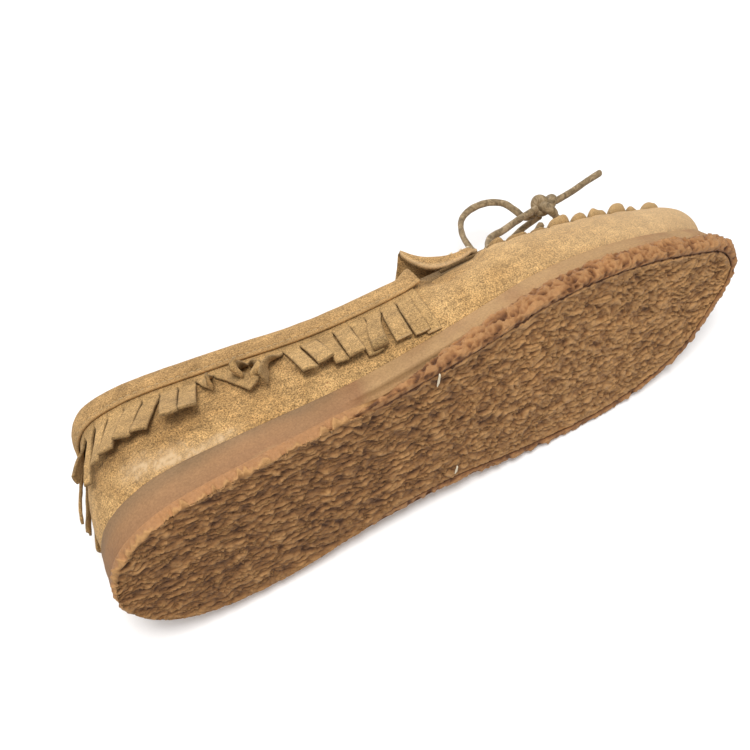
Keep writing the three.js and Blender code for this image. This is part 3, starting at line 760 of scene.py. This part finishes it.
def wrapper():
    """The suede round the foot: lasted under, gathered at the plug seam, and turned over at the top edge."""
    t = loop_shares(half_shares(380))
    length = wall_length(t)
    zero = np.zeros(len(t))
    columns, tones = [outline(t, FEATHER_INSET + LASTING_MARGIN, lining_floor)], [zero]
    drops = [mix(GATHER, length, s) for s in np.linspace(1, 0, 40)[:-1]] + list(np.linspace(GATHER, 0, 24))
    for drop in drops:
        point, normal, _, _ = wall_frame(t, drop)
        u, z = from_heel(point), point[:, 2]
        roll, strength = lobes(t, drop)
        fade = np.exp(-((drop / LOBE_REACH) ** 1.5) * 1.5)
        under_collar = (np.minimum(t, 1 - t) < THROAT + 0.012) & (drop < 34)
        dents = 0.55 * soft(point, 34, 70.0) + 0.1 * soft(point, 7, 80.0, 3)
        dents = dents * np.where(under_collar, 0.25, 1)
        gather = np.sin(seam_at(t) * 1.3 + 2 * soft(point, 20, 90.0, 1))
        gather = 0.28 * gather * np.exp(-(((length - drop) / 3.5) ** 2))
        out = (dents + gather) * smooth(0, 2.5, length - drop) + strength * fade * (1.5 * roll - 1)
        out = out - strength * 0.7 * np.exp(-(((drop - 1) / 1.1) ** 2))
        dip = THROAT_DIP * throat_dip(u) * clamp(1 - drop / 22)
        columns.append(point + scaled(normal, out) - scaled(UP, dip))
        rubbed = sum(np.exp(-(((u - a) / b) ** 2) - ((z - c) / d) ** 2) for a, b, c, d in SCUFFS)
        rubbed = rubbed * (point[:, 1] < 0)
        speck = clamp(soft(point, 2.2, 55.0, 3) * 2.2 - 0.1)
        # painted shade: darker near the top edge where it sinks under the flap's lip
        tones.append(clamp(rubbed * (0.5 + speck)) - 0.75 * throat_dip(u) * np.exp(-((drop / 3.5) ** 2)))
    # over the cut edge: how far in, how far up, share of the puckers, tone (painted shade, deeper under the
    # flap)
    over = ((0.45, 0.42, 0.9, -0.1), (0.95, 0.5, 0.75, -0.2), (1.45, 0.35, 0.5, -0.3))
    top, normal, _, up = wall_frame(t, 0)
    out = strength * (1.5 * roll - 1.3)
    for inward_by, rise, share, shade in over:
        columns.append(top - normal * inward_by + up * rise + scaled(normal, out * share))
        tones.append(shade - 0.6 * throat_dip(from_heel(top)))
    for s in np.linspace(0, 1, 22):
        drop = s * (length - SUEDE)
        point, normal, _, _ = wall_frame(t, drop)
        columns.append(point + scaled(normal, out * 0.35 * np.exp(-((drop / 3) ** 2)) - SUEDE))
        tones.append(zero)
    for inset in (FEATHER_INSET + SUEDE + 0.6, FEATHER_INSET + LASTING_MARGIN):
        columns.append(outline(t, inset, lambda u: lining_floor(u) + SUEDE))
        tones.append(zero)
    keep(skin("wrapper_suede", columns, SUEDE_MAT, closed=True, tones=tones), "suede", "wrapper")


def plug():
    """The apron over the toes: crowned, rolled along its seam, and running on a little under the flap."""
    t = np.linspace(PLUG_START + 0.004, 0.486, 190)
    outer, inner = edge_curve(t), edge_curve(1 - t)
    width = np.linalg.norm(inner - outer, axis=1)[:, None]
    inward = unit(inner - outer) * PLUG_GAP
    outer, inner = outer + inward, inner - inward
    for side in (outer, inner):
        side[:, 0] -= 1.65 * smooth(0.45, 0.486, t)
    s = np.linspace(0, 1, 64)[None, :]
    top = outer[:, None] + (inner - outer)[:, None] * s[..., None]
    top[..., 2] += np.minimum(6.5, 0.12 * width) * 4 * s * (1 - s)
    roll, strength = lobes(t, 0)
    beside_edge = np.exp(-((np.minimum(s, 1 - s) * width) / 2.2) ** 2)
    top[..., 2] += (strength * (0.9 * roll - 0.5))[:, None] * beside_edge + 0.35 * soft(top, 22, 12.0)
    thick = SUEDE * mix(1, 0.9, beside_edge)
    # under the flap it falls away and narrows, and is painted darker as shade
    tuck = np.linspace(9, 1.2, 8)[:, None]
    hidden = np.repeat(top[:1], len(tuck), 0)
    hidden[..., 0] -= tuck
    hidden[..., 1] *= 1 - 0.012 * tuck
    hidden[..., 2] -= tuck * (0.08 + 0.4 * (2 * s - 1) ** 2)
    top = np.concatenate([hidden, top])
    thick = np.concatenate([np.full(hidden.shape[:2], SUEDE), thick])
    tone = np.zeros(top.shape[:2])
    tone[:len(tuck)] = -0.45
    keep(sheet("plug_suede", top, top - scaled(UP, thick), SUEDE_MAT, tone), "suede", "plug")


def join_tubes(name, paths, radius, material, steps=10, sides=8):
    """Many short cords in one mesh."""
    made = bmesh.new()
    for k, path in enumerate(paths):
        part = tube(f"{name}_{k}", path, radius, material, steps, sides, 1.0, 0.1, k)
        made.from_mesh(part.data)
        bpy.data.objects.remove(part)
    mesh = bpy.data.meshes.new(name)
    made.to_mesh(mesh)
    made.free()
    return add_mesh(name, mesh, material)


def gathered_edge():
    """The wrapper's gathered edge standing up over the plug seam: rounded rolls between sharp pinches."""
    fine = np.linspace(PLUG_START - 0.03, 1 - PLUG_START + 0.03, 4000)
    run = seam_at(fine)
    t = np.interp(np.linspace(run[0], run[-1], 1000), run, fine)
    where = seam_at(t) / SEAM_LENGTH
    nearer = np.minimum(where, 1 - where)
    roll, strength = lobes(t, 0)
    # the rolls grow towards the toe, and one on each side is the biggest
    size = 0.62 + 0.72 * smooth(0.12, 0.22, nearer) + 0.75 * np.exp(-(((nearer - BIG_ROLL) / 0.02) ** 2))
    size += 0.1 * np.sin(where * 41 + 1)
    roll = roll**1.35 * strength * size * smooth(-0.05, 0.03, where) * smooth(-0.05, 0.03, 1 - where)
    out = outward(t)
    along = np.stack([-out[:, 1], out[:, 0], np.zeros(len(t))], 1)
    high, wide = 0.8 + 2.0 * roll, 0.95 + 0.75 * roll
    centre = edge_curve(t) + scaled(out, 1.4 * roll - 0.3)
    centre += scaled(UP, 0.8 * high - 0.95 - 0.8 * clamp(1 - roll))
    turn = np.linspace(0, 2 * pi, 26, endpoint=False)
    columns = []
    for a in turn:
        lean = 2.6 * (sin(a) + 0.3) * roll * np.where(where < 0.5, 1, -1)
        p = centre + scaled(out, cos(a) * wide) + scaled(UP, sin(a) * high) + scaled(along, lean)
        columns.append(p + scaled(out, 0.2 * soft(p, 2.6, 44.0)))
    # painted shade in the pinches between the rolls and on the rolls' undersides
    tones = -0.75 * (1 - clamp(roll)) ** 1.5 - 0.25 * clamp(-np.sin(turn))[:, None]
    keep(skin("gathered_edge_suede", columns, BAND_MAT, tones=tones), "suede")


def plug_stitches():
    """One whip stitch in each pinch, over the gathered edge and into the plug."""
    fine = np.linspace(PLUG_START - 0.01, 1 - PLUG_START + 0.01, 4000)
    roll, strength = lobes(fine, 0)
    low = [i for i in range(1, len(fine) - 1)
           if roll[i] < roll[i - 1] and roll[i] <= roll[i + 1] and strength[i] > 0.3]
    paths = []
    for point, out in zip(edge_curve(fine[low]), outward(fine[low])):
        side = np.array([-out[1], out[0], 0]) * 0.5
        # outwards, upwards, along the seam
        route = ((1.9, -2.4, -1), (1.5, -1.2, -0.4), (0.7, -0.15, 0),
                 (-0.5, 0.05, 0), (-2, 0.05, 1), (-3, -1, 1))
        paths.append([point + out * a + UP * b + side * c for a, b, c in route])
    keep(join_tubes("plug_seam_stitches", paths, 0.28, THREAD_MAT), "thread", "plug_seam_thread")


# The flap's long section at its middle, its shoulder and its lip, as (distance from the heel, height).
TONGUE_KNOTS = np.array([0, 0.2, 0.4, 0.6, 0.75, 0.87, 0.94, 1.0])
TONGUE_MIDDLE = [(170.5, 55), (165, 55.5), (160, 56), (154, 57.5),
                 (149.5, 59), (145.5, 60.5), (143, 61.2), (140.5, 61.6)]
TONGUE_SHOULDER = [(171, 50.6), (167, 52.2), (162.5, 52.2), (156.5, 54),
                   (151.5, 57.5), (148.5, 61.2), (147.3, 63.2), (146.2, 64.8)]
TONGUE_LIP = [(170, 48.2), (166, 47.2), (161, 46.4), (154.5, 46.8),
              (149.6, 49), (147, 52.8), (145.4, 56.7), (144.6, 61)]
SHOULDER = 0.86  # where the flap's side starts to turn down, as a share of its half width


def tongue_surface(s, b):
    """Top face of the flap; s runs from its root to its free end, b from side to side."""
    middle, shoulder, lip = (spline(np.array(q, float), TONGUE_KNOTS, s)[:, None]
                             for q in (TONGUE_MIDDLE, TONGUE_SHOULDER, TONGUE_LIP))
    a = np.abs(b)[None, :]
    turn = clamp((a - SHOULDER) / (1 - SHOULDER)) * pi / 2
    flat = clamp(a / SHOULDER)
    profile = mix(middle, shoulder, (flat**2.4)[..., None]) + scaled(lip - shoulder, 1 - np.cos(turn))
    narrow = (1.6 * (1 - smooth(0, 0.2, s)))[:, None]
    y = np.sign(b)[None, :] * ((26.2 - narrow) * flat + 2.6 * np.sin(turn))
    return np.stack([profile[..., 0] - SOLE_LENGTH / 2, y, profile[..., 1]], -1)


def tongue():
    """The short flap: its sides turn down over the wrapper's edge and its free corners turn up."""
    rows, across = 72, 150
    s, b = np.linspace(0, 1, rows), np.linspace(-1, 1, across)
    top = tongue_surface(s, b)
    top[..., 2] += 0.35 * soft(top, 11, 15.0)
    normal = unit(np.cross(np.gradient(top, axis=0), np.gradient(top, axis=1)))
    normal *= np.sign(normal[rows // 2, across // 2, 2])
    bottom = top - normal * TONGUE_THICK
    tone = 0.6 * np.maximum(smooth(0.97, 1, np.abs(b))[None, :], smooth(0.97, 1, s)[:, None])
    # pale cut edges on top; the underside is painted darker as shade
    piece = loop_solid("tongue_suede", np.concatenate([top, bottom[:, ::-1]], 1), SUEDE_MAT,
                       tone=np.concatenate([tone, tone[:, ::-1] * 0.3 - 0.35], 1))
    keep(piece, "suede", "tongue", body="tongue_flap")
    paths = []
    for side in (-1, 1):
        for start in (0.12, 0.28, 0.44):
            p = tongue_surface(np.linspace(start, start + 0.06, 4), np.linspace(0.905, 0.925, 4) * side)
            paths.append(np.array([p[i, i] for i in range(4)]) + np.array([0, 0.25 * side, 0.1]))
    keep(join_tubes("tongue_stitches", paths, 0.3, PALE_MAT), "thread", body="tongue_flap")


# ---------- collar
COLLAR_END = 0.2555  # the binding runs on a little past the throat, rising to the flap
THROAT_RISE = 3.0


def throat_rise(t, drop):
    """How far the binding rises at the throat's end, less and less down to its lower edge."""
    return THROAT_RISE * smooth(THROAT - 0.005, COLLAR_END, np.abs(t)) * max(0.0, 1 - drop / 9)


def on_wall(t, drop, out, lift=0.0):
    """The collar's points at a drop, standing out from the wall and risen near the throat."""
    point, normal, _, up = wall_frame(t, drop)
    return point + normal * out + up * lift + scaled(UP, throat_rise(t, drop))


def over_edge(t, out, lift, angles):
    """Points over the top edge, on an oval about the suede's middle; angles are in half turns."""
    return [on_wall(t, 0, out * cos(pi * a) - SUEDE / 2, lift[0] + lift[1] * sin(pi * a)) for a in angles]


def collar_section(t):
    """The binding's outer skin, from the lower edge of its outer leg over the fold to the inner leg."""
    outer_leg = ((BAND, -0.3), (6.9, 0), (6.3, 0.02), (5.7, -0.12), (5.1, 0.1),
                 (4.2, 0.28), (3.2, 0.36), (1.6, 0.35), (0, 0.2))
    inner_leg = ((1.5, 4), (3.5, 3.9), (5.5, 3.75), (7.4, 3.6), (8, 3.3))
    points = [on_wall(t, drop, BINDING_CLEAR + BINDING_SKIN + puff) for drop, puff in outer_leg]
    points += over_edge(t, 3.75, (0.6, 2.9), np.linspace(0.12, 0.92, 7))
    return points + [on_wall(t, drop, -inside) for drop, inside in inner_leg]


def collar_lining(t):
    """The binding's inner skin, back from the inner leg over the wall's edge to the outer leg."""
    points = [on_wall(t, drop, -inside) for drop, inside in ((8, 2.5), (5.5, 2.5), (3.5, 2.5), (1.5, 2.6))]
    points += over_edge(t, 2.65, (0.4, 1.9), (0.9, 0.7, 0.5, 0.3, 0.1))
    return points + [on_wall(t, drop, BINDING_CLEAR + 0.02) for drop in (0, 2, 4, 6, BAND)]


def binding():
    t = evenly(420, COLLAR_END, 6)
    outside = collar_section(t)
    _, normal, _, _ = wall_frame(t, 0)
    for k, p in enumerate(outside):
        ripple = 0.22 * soft(p, 11, 25.0) + 0.05 * soft(p, 3, 26.0)
        p += scaled(normal, ripple * (0.4 if k < 3 else 1))
    columns = outside + collar_lining(t)
    tones = np.zeros((len(columns), len(t)))
    # painted shade: the binding is darker along the groove by its stitches
    tones[0], tones[3] = 0.5, -0.25  # a pale cut edge, and a groove along the stitches
    keep(skin("collar_binding_suede", columns, BAND_MAT, tones=tones), "suede", "collar_binding")


def padding():
    t = evenly(160, THROAT * 0.97, 6)
    top, normal, _, up = wall_frame(t, 0)
    columns = [top + normal * (1.35 * cos(v) - SUEDE / 2) + up * (1.15 + 0.75 * sin(v))
               for v in np.linspace(0, 2 * pi, 12, endpoint=False)]
    keep(skin("collar_padding_foam", columns, FOAM_MAT), "foam", "collar_padding")


def binding_stitches():
    cuts = evenly(110, FRINGE_REACH, 5.7)
    lift = np.array([-0.3, -0.08, 0.0, -0.08, -0.3])
    paths = [beside(mix(a, b, np.linspace(0.1, 0.9, 5)), STITCH_DROP, BINDING_CLEAR + BINDING_SKIN + lift)
             for a, b in zip(cuts[:-1], cuts[1:])]
    keep(join_tubes("binding_stitches", paths, 0.16, THREAD_MAT, 9, 6), "thread", "binding_stitch")


def header():
    t, drops = evenly(300, FRINGE_REACH, 8)[:, None], np.linspace(2, HEADER_DROP + 0.2, 10)
    face, back = (beside(t, drops, out) for out in (1.35, 0.38))
    piece = sheet("fringe_header_suede", face, back, FRINGE_MAT, np.zeros(face.shape[:2]), 0.2)
    keep(piece, "fringe", "fringe_header")


# ---------- fringe
TASSEL_TOP = 10.3
STRIPS = 45  # STRIPS = 45 # cut strips; the model has the tassels in 34 groups, so some neighbours stand for one group
random.seed(SEED)
GROUPS = evenly(TASSELS, FRINGE_REACH, TASSEL_TOP)
CUTS = evenly(STRIPS - 1, FRINGE_REACH, TASSEL_TOP)
CUTS = np.append(CUTS, 2 * CUTS[-1] - CUTS[-2])
COVERED = set()  # the tassel groups whose CAD node is already replaced
HALF_THICK = 0.5
# From the outer throat towards the heel: lean (degrees, minus is heelwards), flare (degrees), twist (turns),
# width (share of the pitch), length (mm), fold at the tip (share of the length).
OUTER_STRIPS = [
    (-6, 2, 0, 0.95, 25, 0), (-8, 4, 0, 1.0, 24, 0), (-9, 6, 0, 1.0, 23, 0), (-15, 6, 0.01, 0.97, 26, 0.14),
    (-4, 4, 0, 0.98, 22, 0), (-4, 11, 0.01, 1.05, 21.5, 0), (-2, 9, -0.02, 0.85, 20.5, 0),
    (2, 15, 0.02, 1.04, 19.5, 0), (2, 14, -0.02, 0.92, 20.5, 0), (-24, 12, 0.3, 0.9, 21, 0),
    (-12, 17, -0.42, 0.95, 18.5, 0.2), (-12, 18, 0.4, 1.0, 19, 0.3), (24, 9, 0.08, 0.95, 19, 0),
    (4, 12, 0.3, 0.85, 16.5, 0.25), (-6, 21, 0, 1.04, 22.5, 0), (-5, 20, 0, 1.04, 22.5, 0),
    (-17, 11, 0, 0.98, 21, 0), (-14, 11, -0.02, 1.03, 21, 0), (-12, 9, 0.02, 1.04, 21.5, 0),
    (-5, 7, 0.03, 0.7, 23, 0), (0, 5, -0.06, 0.5, 27, 0), (10, 7, 0.1, 0.75, 22, 0),
    (4, 4, 0, 0.5, 31, 0), (2, 4, 0, 0.5, 28, 0), (-4, 4, 0, 0.42, 32, 0)
]


def strip(number):
    """A cut strip, bending out and down from the shoe. Each draws its random shape, used or not."""
    start, end = CUTS[number], CUTS[number + 1]
    if number == STRIPS - 1:  # the last one hangs from the very end of the header, half behind its neighbour
        start, end = start - 0.5 * (end - start), end - 0.5 * (end - start)
    outer = STRIPS - 1 - number
    shape = (random.uniform(-14, 6), random.uniform(2, 5 if number > 15 else 14),
             random.choice((0, 0, 0.03, -0.04, 0.25, -0.3)), random.uniform(0.8, 1.03),
             random.uniform(19, 22.5), 0)
    lean, flare, twist, wide, length, fold = OUTER_STRIPS[outer] if outer < len(OUTER_STRIPS) else shape
    lean, flare = radians(lean), radians(flare)
    middle = (start + end) / 2
    group = int(np.clip(np.searchsorted(GROUPS, middle), 1, TASSELS))
    stand = 0.35 if outer == 0 else 0.87 + 0.4 * (number % 2)
    rows, across = 40, 13
    s, b = np.linspace(-0.12, 1, rows)[:, None], np.linspace(-0.5, 0.5, across)[None, :]
    past = np.maximum(0, s - (1 - fold))
    fall = np.maximum(s, 0) - 1.7 * past  # how far down, turning back up past the fold
    toeward = copysign(1, middle)
    drop = TASSEL_TOP - 1.4 + length * (np.minimum(s, 0) + fall * cos(flare) * cos(lean)) + 0 * b
    pitch = float(np.linalg.norm(wall_points(end, TASSEL_TOP) - wall_points(start, TASSEL_TOP)))
    centre, normal, along, up = wall_frame(middle, drop)
    out = length * sin(flare) * fall**1.35 + 0.35 * sin(number * 2.9) * np.sin(fall * 3.1)
    out = out + 1.5 * smooth(0, 0.03, past) + mix(0.87, stand, smooth(0, 0.2, fall))
    angle = twist * 2 * pi * smooth(0.08, 0.85, fall)
    width = pitch * mix(1, 0.92 * wide, smooth(0, 0.22, fall)) * (1 + 0.03 * sin(number * 5.1) * fall)
    cup = 0.5 * sin(number * 2.3) * (0.25 - b * b) * 4 * fall
    skew = toeward * lean * 0.75 * fall
    sway = toeward * length * sin(lean) * fall * smooth(0, 0.35, fall)
    line = centre + scaled(along, sway + b * width * np.cos(angle))
    line += scaled(normal, out + np.abs(np.sin(angle)) * width * 0.45 + cup + b * width * np.sin(angle))
    line += scaled(up, b * width * np.sin(skew) * np.cos(angle))
    line += scaled(normal, 0.22 * soft(line, 4.5, number) * fall)
    facing = unit(np.cross(np.gradient(line, axis=1), np.gradient(line, axis=0)))
    facing *= np.sign(np.sum(facing[0, across // 2] * normal[0, across // 2]))
    thick = np.full((rows, across), HALF_THICK)
    thick[:, [0, -1]] = 0.4
    thick[-1] = 0.42
    # painted shade on the sides and back, and on the cut end except on the first strips at the throat, whose
    # cut end is pale
    tone, behind = np.zeros((rows, across)), np.full((rows, across), -0.45)
    tone[-1] = 0.6 if outer < 4 else -0.5
    tone[:, [0, -1]], behind[:, [0, -1]] = -0.4, -0.6
    section = np.concatenate([line + scaled(facing, thick), (line - scaled(facing, thick))[:, ::-1]], 1)
    tone = np.concatenate([tone, behind], 1)
    piece = loop_solid(f"fringe_strip_{number + 1:02d}", section, FRINGE_MAT, tone=tone)
    root, out, _, up = (v[0] for v in wall_frame((GROUPS[[group - 1]] + GROUPS[group]) / 2, TASSEL_TOP))
    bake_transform(piece)
    if group not in COVERED:
        COVERED.add(group)
        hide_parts(f"tassel_{group:02d}")


# ---------- inside
POCKET_END = 0.135


def footbed():
    loop = loop_shares(half_shares(160))
    rings = []
    for inset, height in ((6.4, 0), (5.9, 0.5), (5.75, 1.8), (6.1, 2.6), (6.9, 3.0), (9, 3.05), (13, 2.9)):
        ring = outline(loop, inset, lambda u: lining_floor(u) + SUEDE + GAP + BOARD + GAP + height)
        ring[:, 2] += 0.12 * soft(ring, 14, 31.0)
        rings.append(ring)
    keep(slab("footbed_leather", rings, LINING_MAT), "lining", "footbed")


def counter_pocket():
    """The suede pocket over the heel counter, inside the heel."""
    t, drops = evenly(150, POCKET_END, 24)[:, None], np.linspace(13.5, 34, 26)
    puff = np.sin(np.linspace(0, pi, 26)) ** 0.5 * smooth(0, 0.012, POCKET_END - np.abs(t))
    face, back = beside(t, drops, -2.25), beside(t, drops, -2.9 - 0.95 * puff)
    piece = sheet("heel_counter_pocket", face, back, SUEDE_MAT, np.zeros(face.shape[:2]))
    keep(piece, "suede", "heel_counter")


def thread_ends():
    """Two loose tufts of the sole thread, pressed flat against the tread."""
    for name, u, y, length in (("outer", 121, -33.5, 6), ("inner", 128.5, 23, 4.2)):
        start = np.array([u - SOLE_LENGTH / 2, y, -0.15])
        paths = []
        for k, spread in enumerate((-0.35, 0.0, 0.35)):
            end = start + np.array([spread - 0.7, length * (1 - 0.1 * k), 0])
            drift = np.array([spread * 0.3, 0, 0])
            paths.append([start + UP * 0.25, start + drift + [0, 0.5, 0.05], (start + end) / 2 + drift, end])
        keep(join_tubes("thread_tuft_" + name, paths, 0.24, PALE_MAT, 14), "thread", "thread_end_" + name)


# ---------- lace
LACE_RADIUS = 1.5
KNOT_RADIUS = 1.9
KNOT = (216.5, -14, 66.5)


def lace_point(p):
    return np.array([p[0] - SOLE_LENGTH / 2 + 1, p[1], p[2]])


# The body each cord rides on, and its points: distance from the heel, sideways, height.
LACES = {
    "lace_strand_outer": ("shoe", [(172.5, -26.4, 45.5), (174.8, -25.6, 49.5), (178, -24.8, 52.8),
                                   (187, -22, 56.5), (198, -18.5, 61.5), (211.5, -15.6, 65.8)]),
    "lace_strand_inner": ("shoe", [(172.5, 25.4, 45.5), (174.5, 24.2, 50), (178.5, 21.8, 54.6),
                                   (188, 16, 58.3), (200, 3, 60.8), (213, -9, 63.5)]),
    "lace_loop_outer": ("bow_loop_outer", [
        (213, -10, 68), (208, -10.5, 69), (206.5, -11.5, 74), (205, -12, 79.5), (200.5, -12, 83.5),
        (193, -12, 84.5), (185, -12.5, 81), (179.5, -12.5, 73), (177.5, -12.5, 64.5), (177.3, -12.5, 60)]),
    "lace_loop_inner": ("bow_loop_inner", [(215.5, -8.7, 67.8), (209, 2, 74), (201, 13, 76),
                                           (192, 21, 73), (186, 21, 67), (184, 13, 62.5)]),
    "lace_tail_outer": ("bow_tail_outer", [(221, -14.5, 66.2), (231, -14.5, 67.4), (240, -14.5, 69.2),
                                           (248.5, -14.5, 70.5)]),
    "lace_tail_inner": ("bow_tail_inner", [(219, -10, 63.5), (228, 1, 56.5), (237, 9, 51), (246, 12, 48.5)]),
}


def laces():
    for k, (name, (body, points)) in enumerate(LACES.items()):
        path = [lace_point(p) for p in points]
        ends = 0.25 if "tail" in name else 1.0
        cord = tube(name + "_cord", path, LACE_RADIUS, LACE_MAT, 110, 18, ends, 0.09, k, flat=0.8)
        keep(cord, "lace", name, body=body)
    a = np.linspace(0, 2 * pi, 30, endpoint=False)  # the knot is a trefoil
    turn = np.stack([1.35 * (np.sin(a) + 2 * np.sin(2 * a)), -1.9 * np.sin(3 * a),
                     1.6 * (np.cos(a) - 2 * np.cos(2 * a))], 1)
    knot = closed_tube("lace_knot_cord", lace_point(KNOT) + turn, KNOT_RADIUS, LACE_MAT)
    keep(knot, "lace", "lace_knot")


# ---------- stage
def backdrop_material(name, colour, radius_in, radius_out, toward=None):
    """A matt surface on its front face only, fading out from its middle; toward limits who sees it."""
    made = bpy.data.materials.new(name)
    made.use_nodes = True
    tree = made.node_tree
    tree.nodes.clear()
    geometry = node(tree, "NewGeometry").outputs
    far = node(tree, "VectorMath", {0: place_of(tree)}, operation="LENGTH").outputs["Value"]
    near = node(tree, "MapRange", {"Value": far, "From Min": radius_out, "From Max": radius_in},
                interpolation_type="SMOOTHSTEP").outputs[0]
    seen = figure(tree, "MULTIPLY", figure(tree, "SUBTRACT", 1.0, geometry["Backfacing"]), near)
    if toward:
        facing = node(tree, "VectorMath", {0: geometry["Incoming"], 1: toward}, operation="DOT_PRODUCT")
        facing = figure(tree, "GREATER_THAN", facing.outputs["Value"], SEEN_FROM)
        seen = figure(tree, "MULTIPLY", seen, facing)
    matt = node(tree, "BsdfDiffuse", {"Color": (*colour, 1)}).outputs[0]
    mixed = node(tree, "MixShader", {0: seen, 1: node(tree, "BsdfTransparent").outputs[0], 2: matt})
    node(tree, "OutputMaterial", {"Surface": mixed.outputs[0]})
    return made


def turned(direction):
    """A rotation that points Z this way."""
    return Vector(direction).to_track_quat("Z", "Y").to_matrix().to_4x4()


def floor(name, centre, normal, half, material):
    mesh = bpy.data.meshes.new(name)
    corners = [(-half, -half, 0), (half, -half, 0), (half, half, 0), (-half, half, 0)]
    mesh.from_pydata(corners, [], [(0, 1, 2, 3)])
    obj = add_mesh(name, mesh, material)
    obj.matrix_world = Matrix.Translation(centre) @ turned(normal)
    obj.visible_shadow = obj.visible_diffuse = obj.visible_glossy = False


def lamp(name, toward, distance, size, power, colour=(1, 1, 1)):
    data = bpy.data.lights.new(name, "AREA")
    data.size, data.energy, data.color = size, power, colour
    direction = Vector(toward).normalized()
    add(name, data).matrix_world = Matrix.Translation(direction * distance) @ turned(direction)


# The camera's axes and place, found by fitting the CAD's outline by measure to the photo's.
LOOK = (0.308, 0.749, 0.587)
RIGHT = (0.854, 0.054, -0.517)
ABOVE = (0.419, -0.66, 0.623)
EYE = (-0.1262, -0.2741, -0.1772)
FOCAL = 47.12
SENSOR = 36
REST_NORMAL = (0, -0.966, -0.258)  # of the plane the shoe seems to lie on
SEEN_FROM = 0.78  # that plane shows only within about 39 degrees of the camera's direction


def stage():
    behind = tuple(-v for v in LOOK)
    paper = backdrop_material("paper", (0.92, 0.92, 0.93), 0.34, 0.6, behind)
    floor("floor_side", (0.0, 0.0415, 0.007), REST_NORMAL, 0.9, paper)
    ground = backdrop_material("ground", (0.9, 0.9, 0.9), 0.4, 0.95)
    floor("floor_ground", (0, 0, 0), (0, 0, 1), 1.2, ground)
    scene = bpy.context.scene
    scene.world = bpy.data.worlds.new("studio")
    scene.world.use_nodes = True
    tree = scene.world.node_tree
    sky = tree.nodes["Background"]
    sky.inputs["Color"].default_value = (1, 1, 1, 1)
    # white to the camera, dimmer as a light
    ray = node(tree, "LightPath").outputs["Is Camera Ray"]
    tree.links.new(remap(tree, ray, 0, 1, 0.72, 1), sky.inputs["Strength"])
    lamp("key", (-0.2, -0.93, -0.3), 1.1, 0.35, 9.0, (1.0, 0.985, 0.96))
    lamp("top", (0.1, -0.2, 1.0), 1.2, 0.9, 5.0)
    camera = bpy.data.cameras.new("camera")
    camera.lens, camera.sensor_width = FOCAL, SENSOR
    scene.camera = add("camera", camera)
    scene.camera.matrix_world = Matrix.Translation(EYE) @ Matrix((RIGHT, ABOVE, behind)).transposed().to_4x4()
    scene.view_settings.view_transform = "Standard"


# ---------- build
tread()
rand()
midsole()
wrapper()
plug()
gathered_edge()
plug_stitches()
tongue()
binding()
padding()
binding_stitches()
header()
for number in range(STRIPS):
    strip(number)
footbed()
counter_pocket()
laces()
thread_ends()
bpy.data.objects["insole_board"].material_slots[0].material = BOARD_MAT
stage()
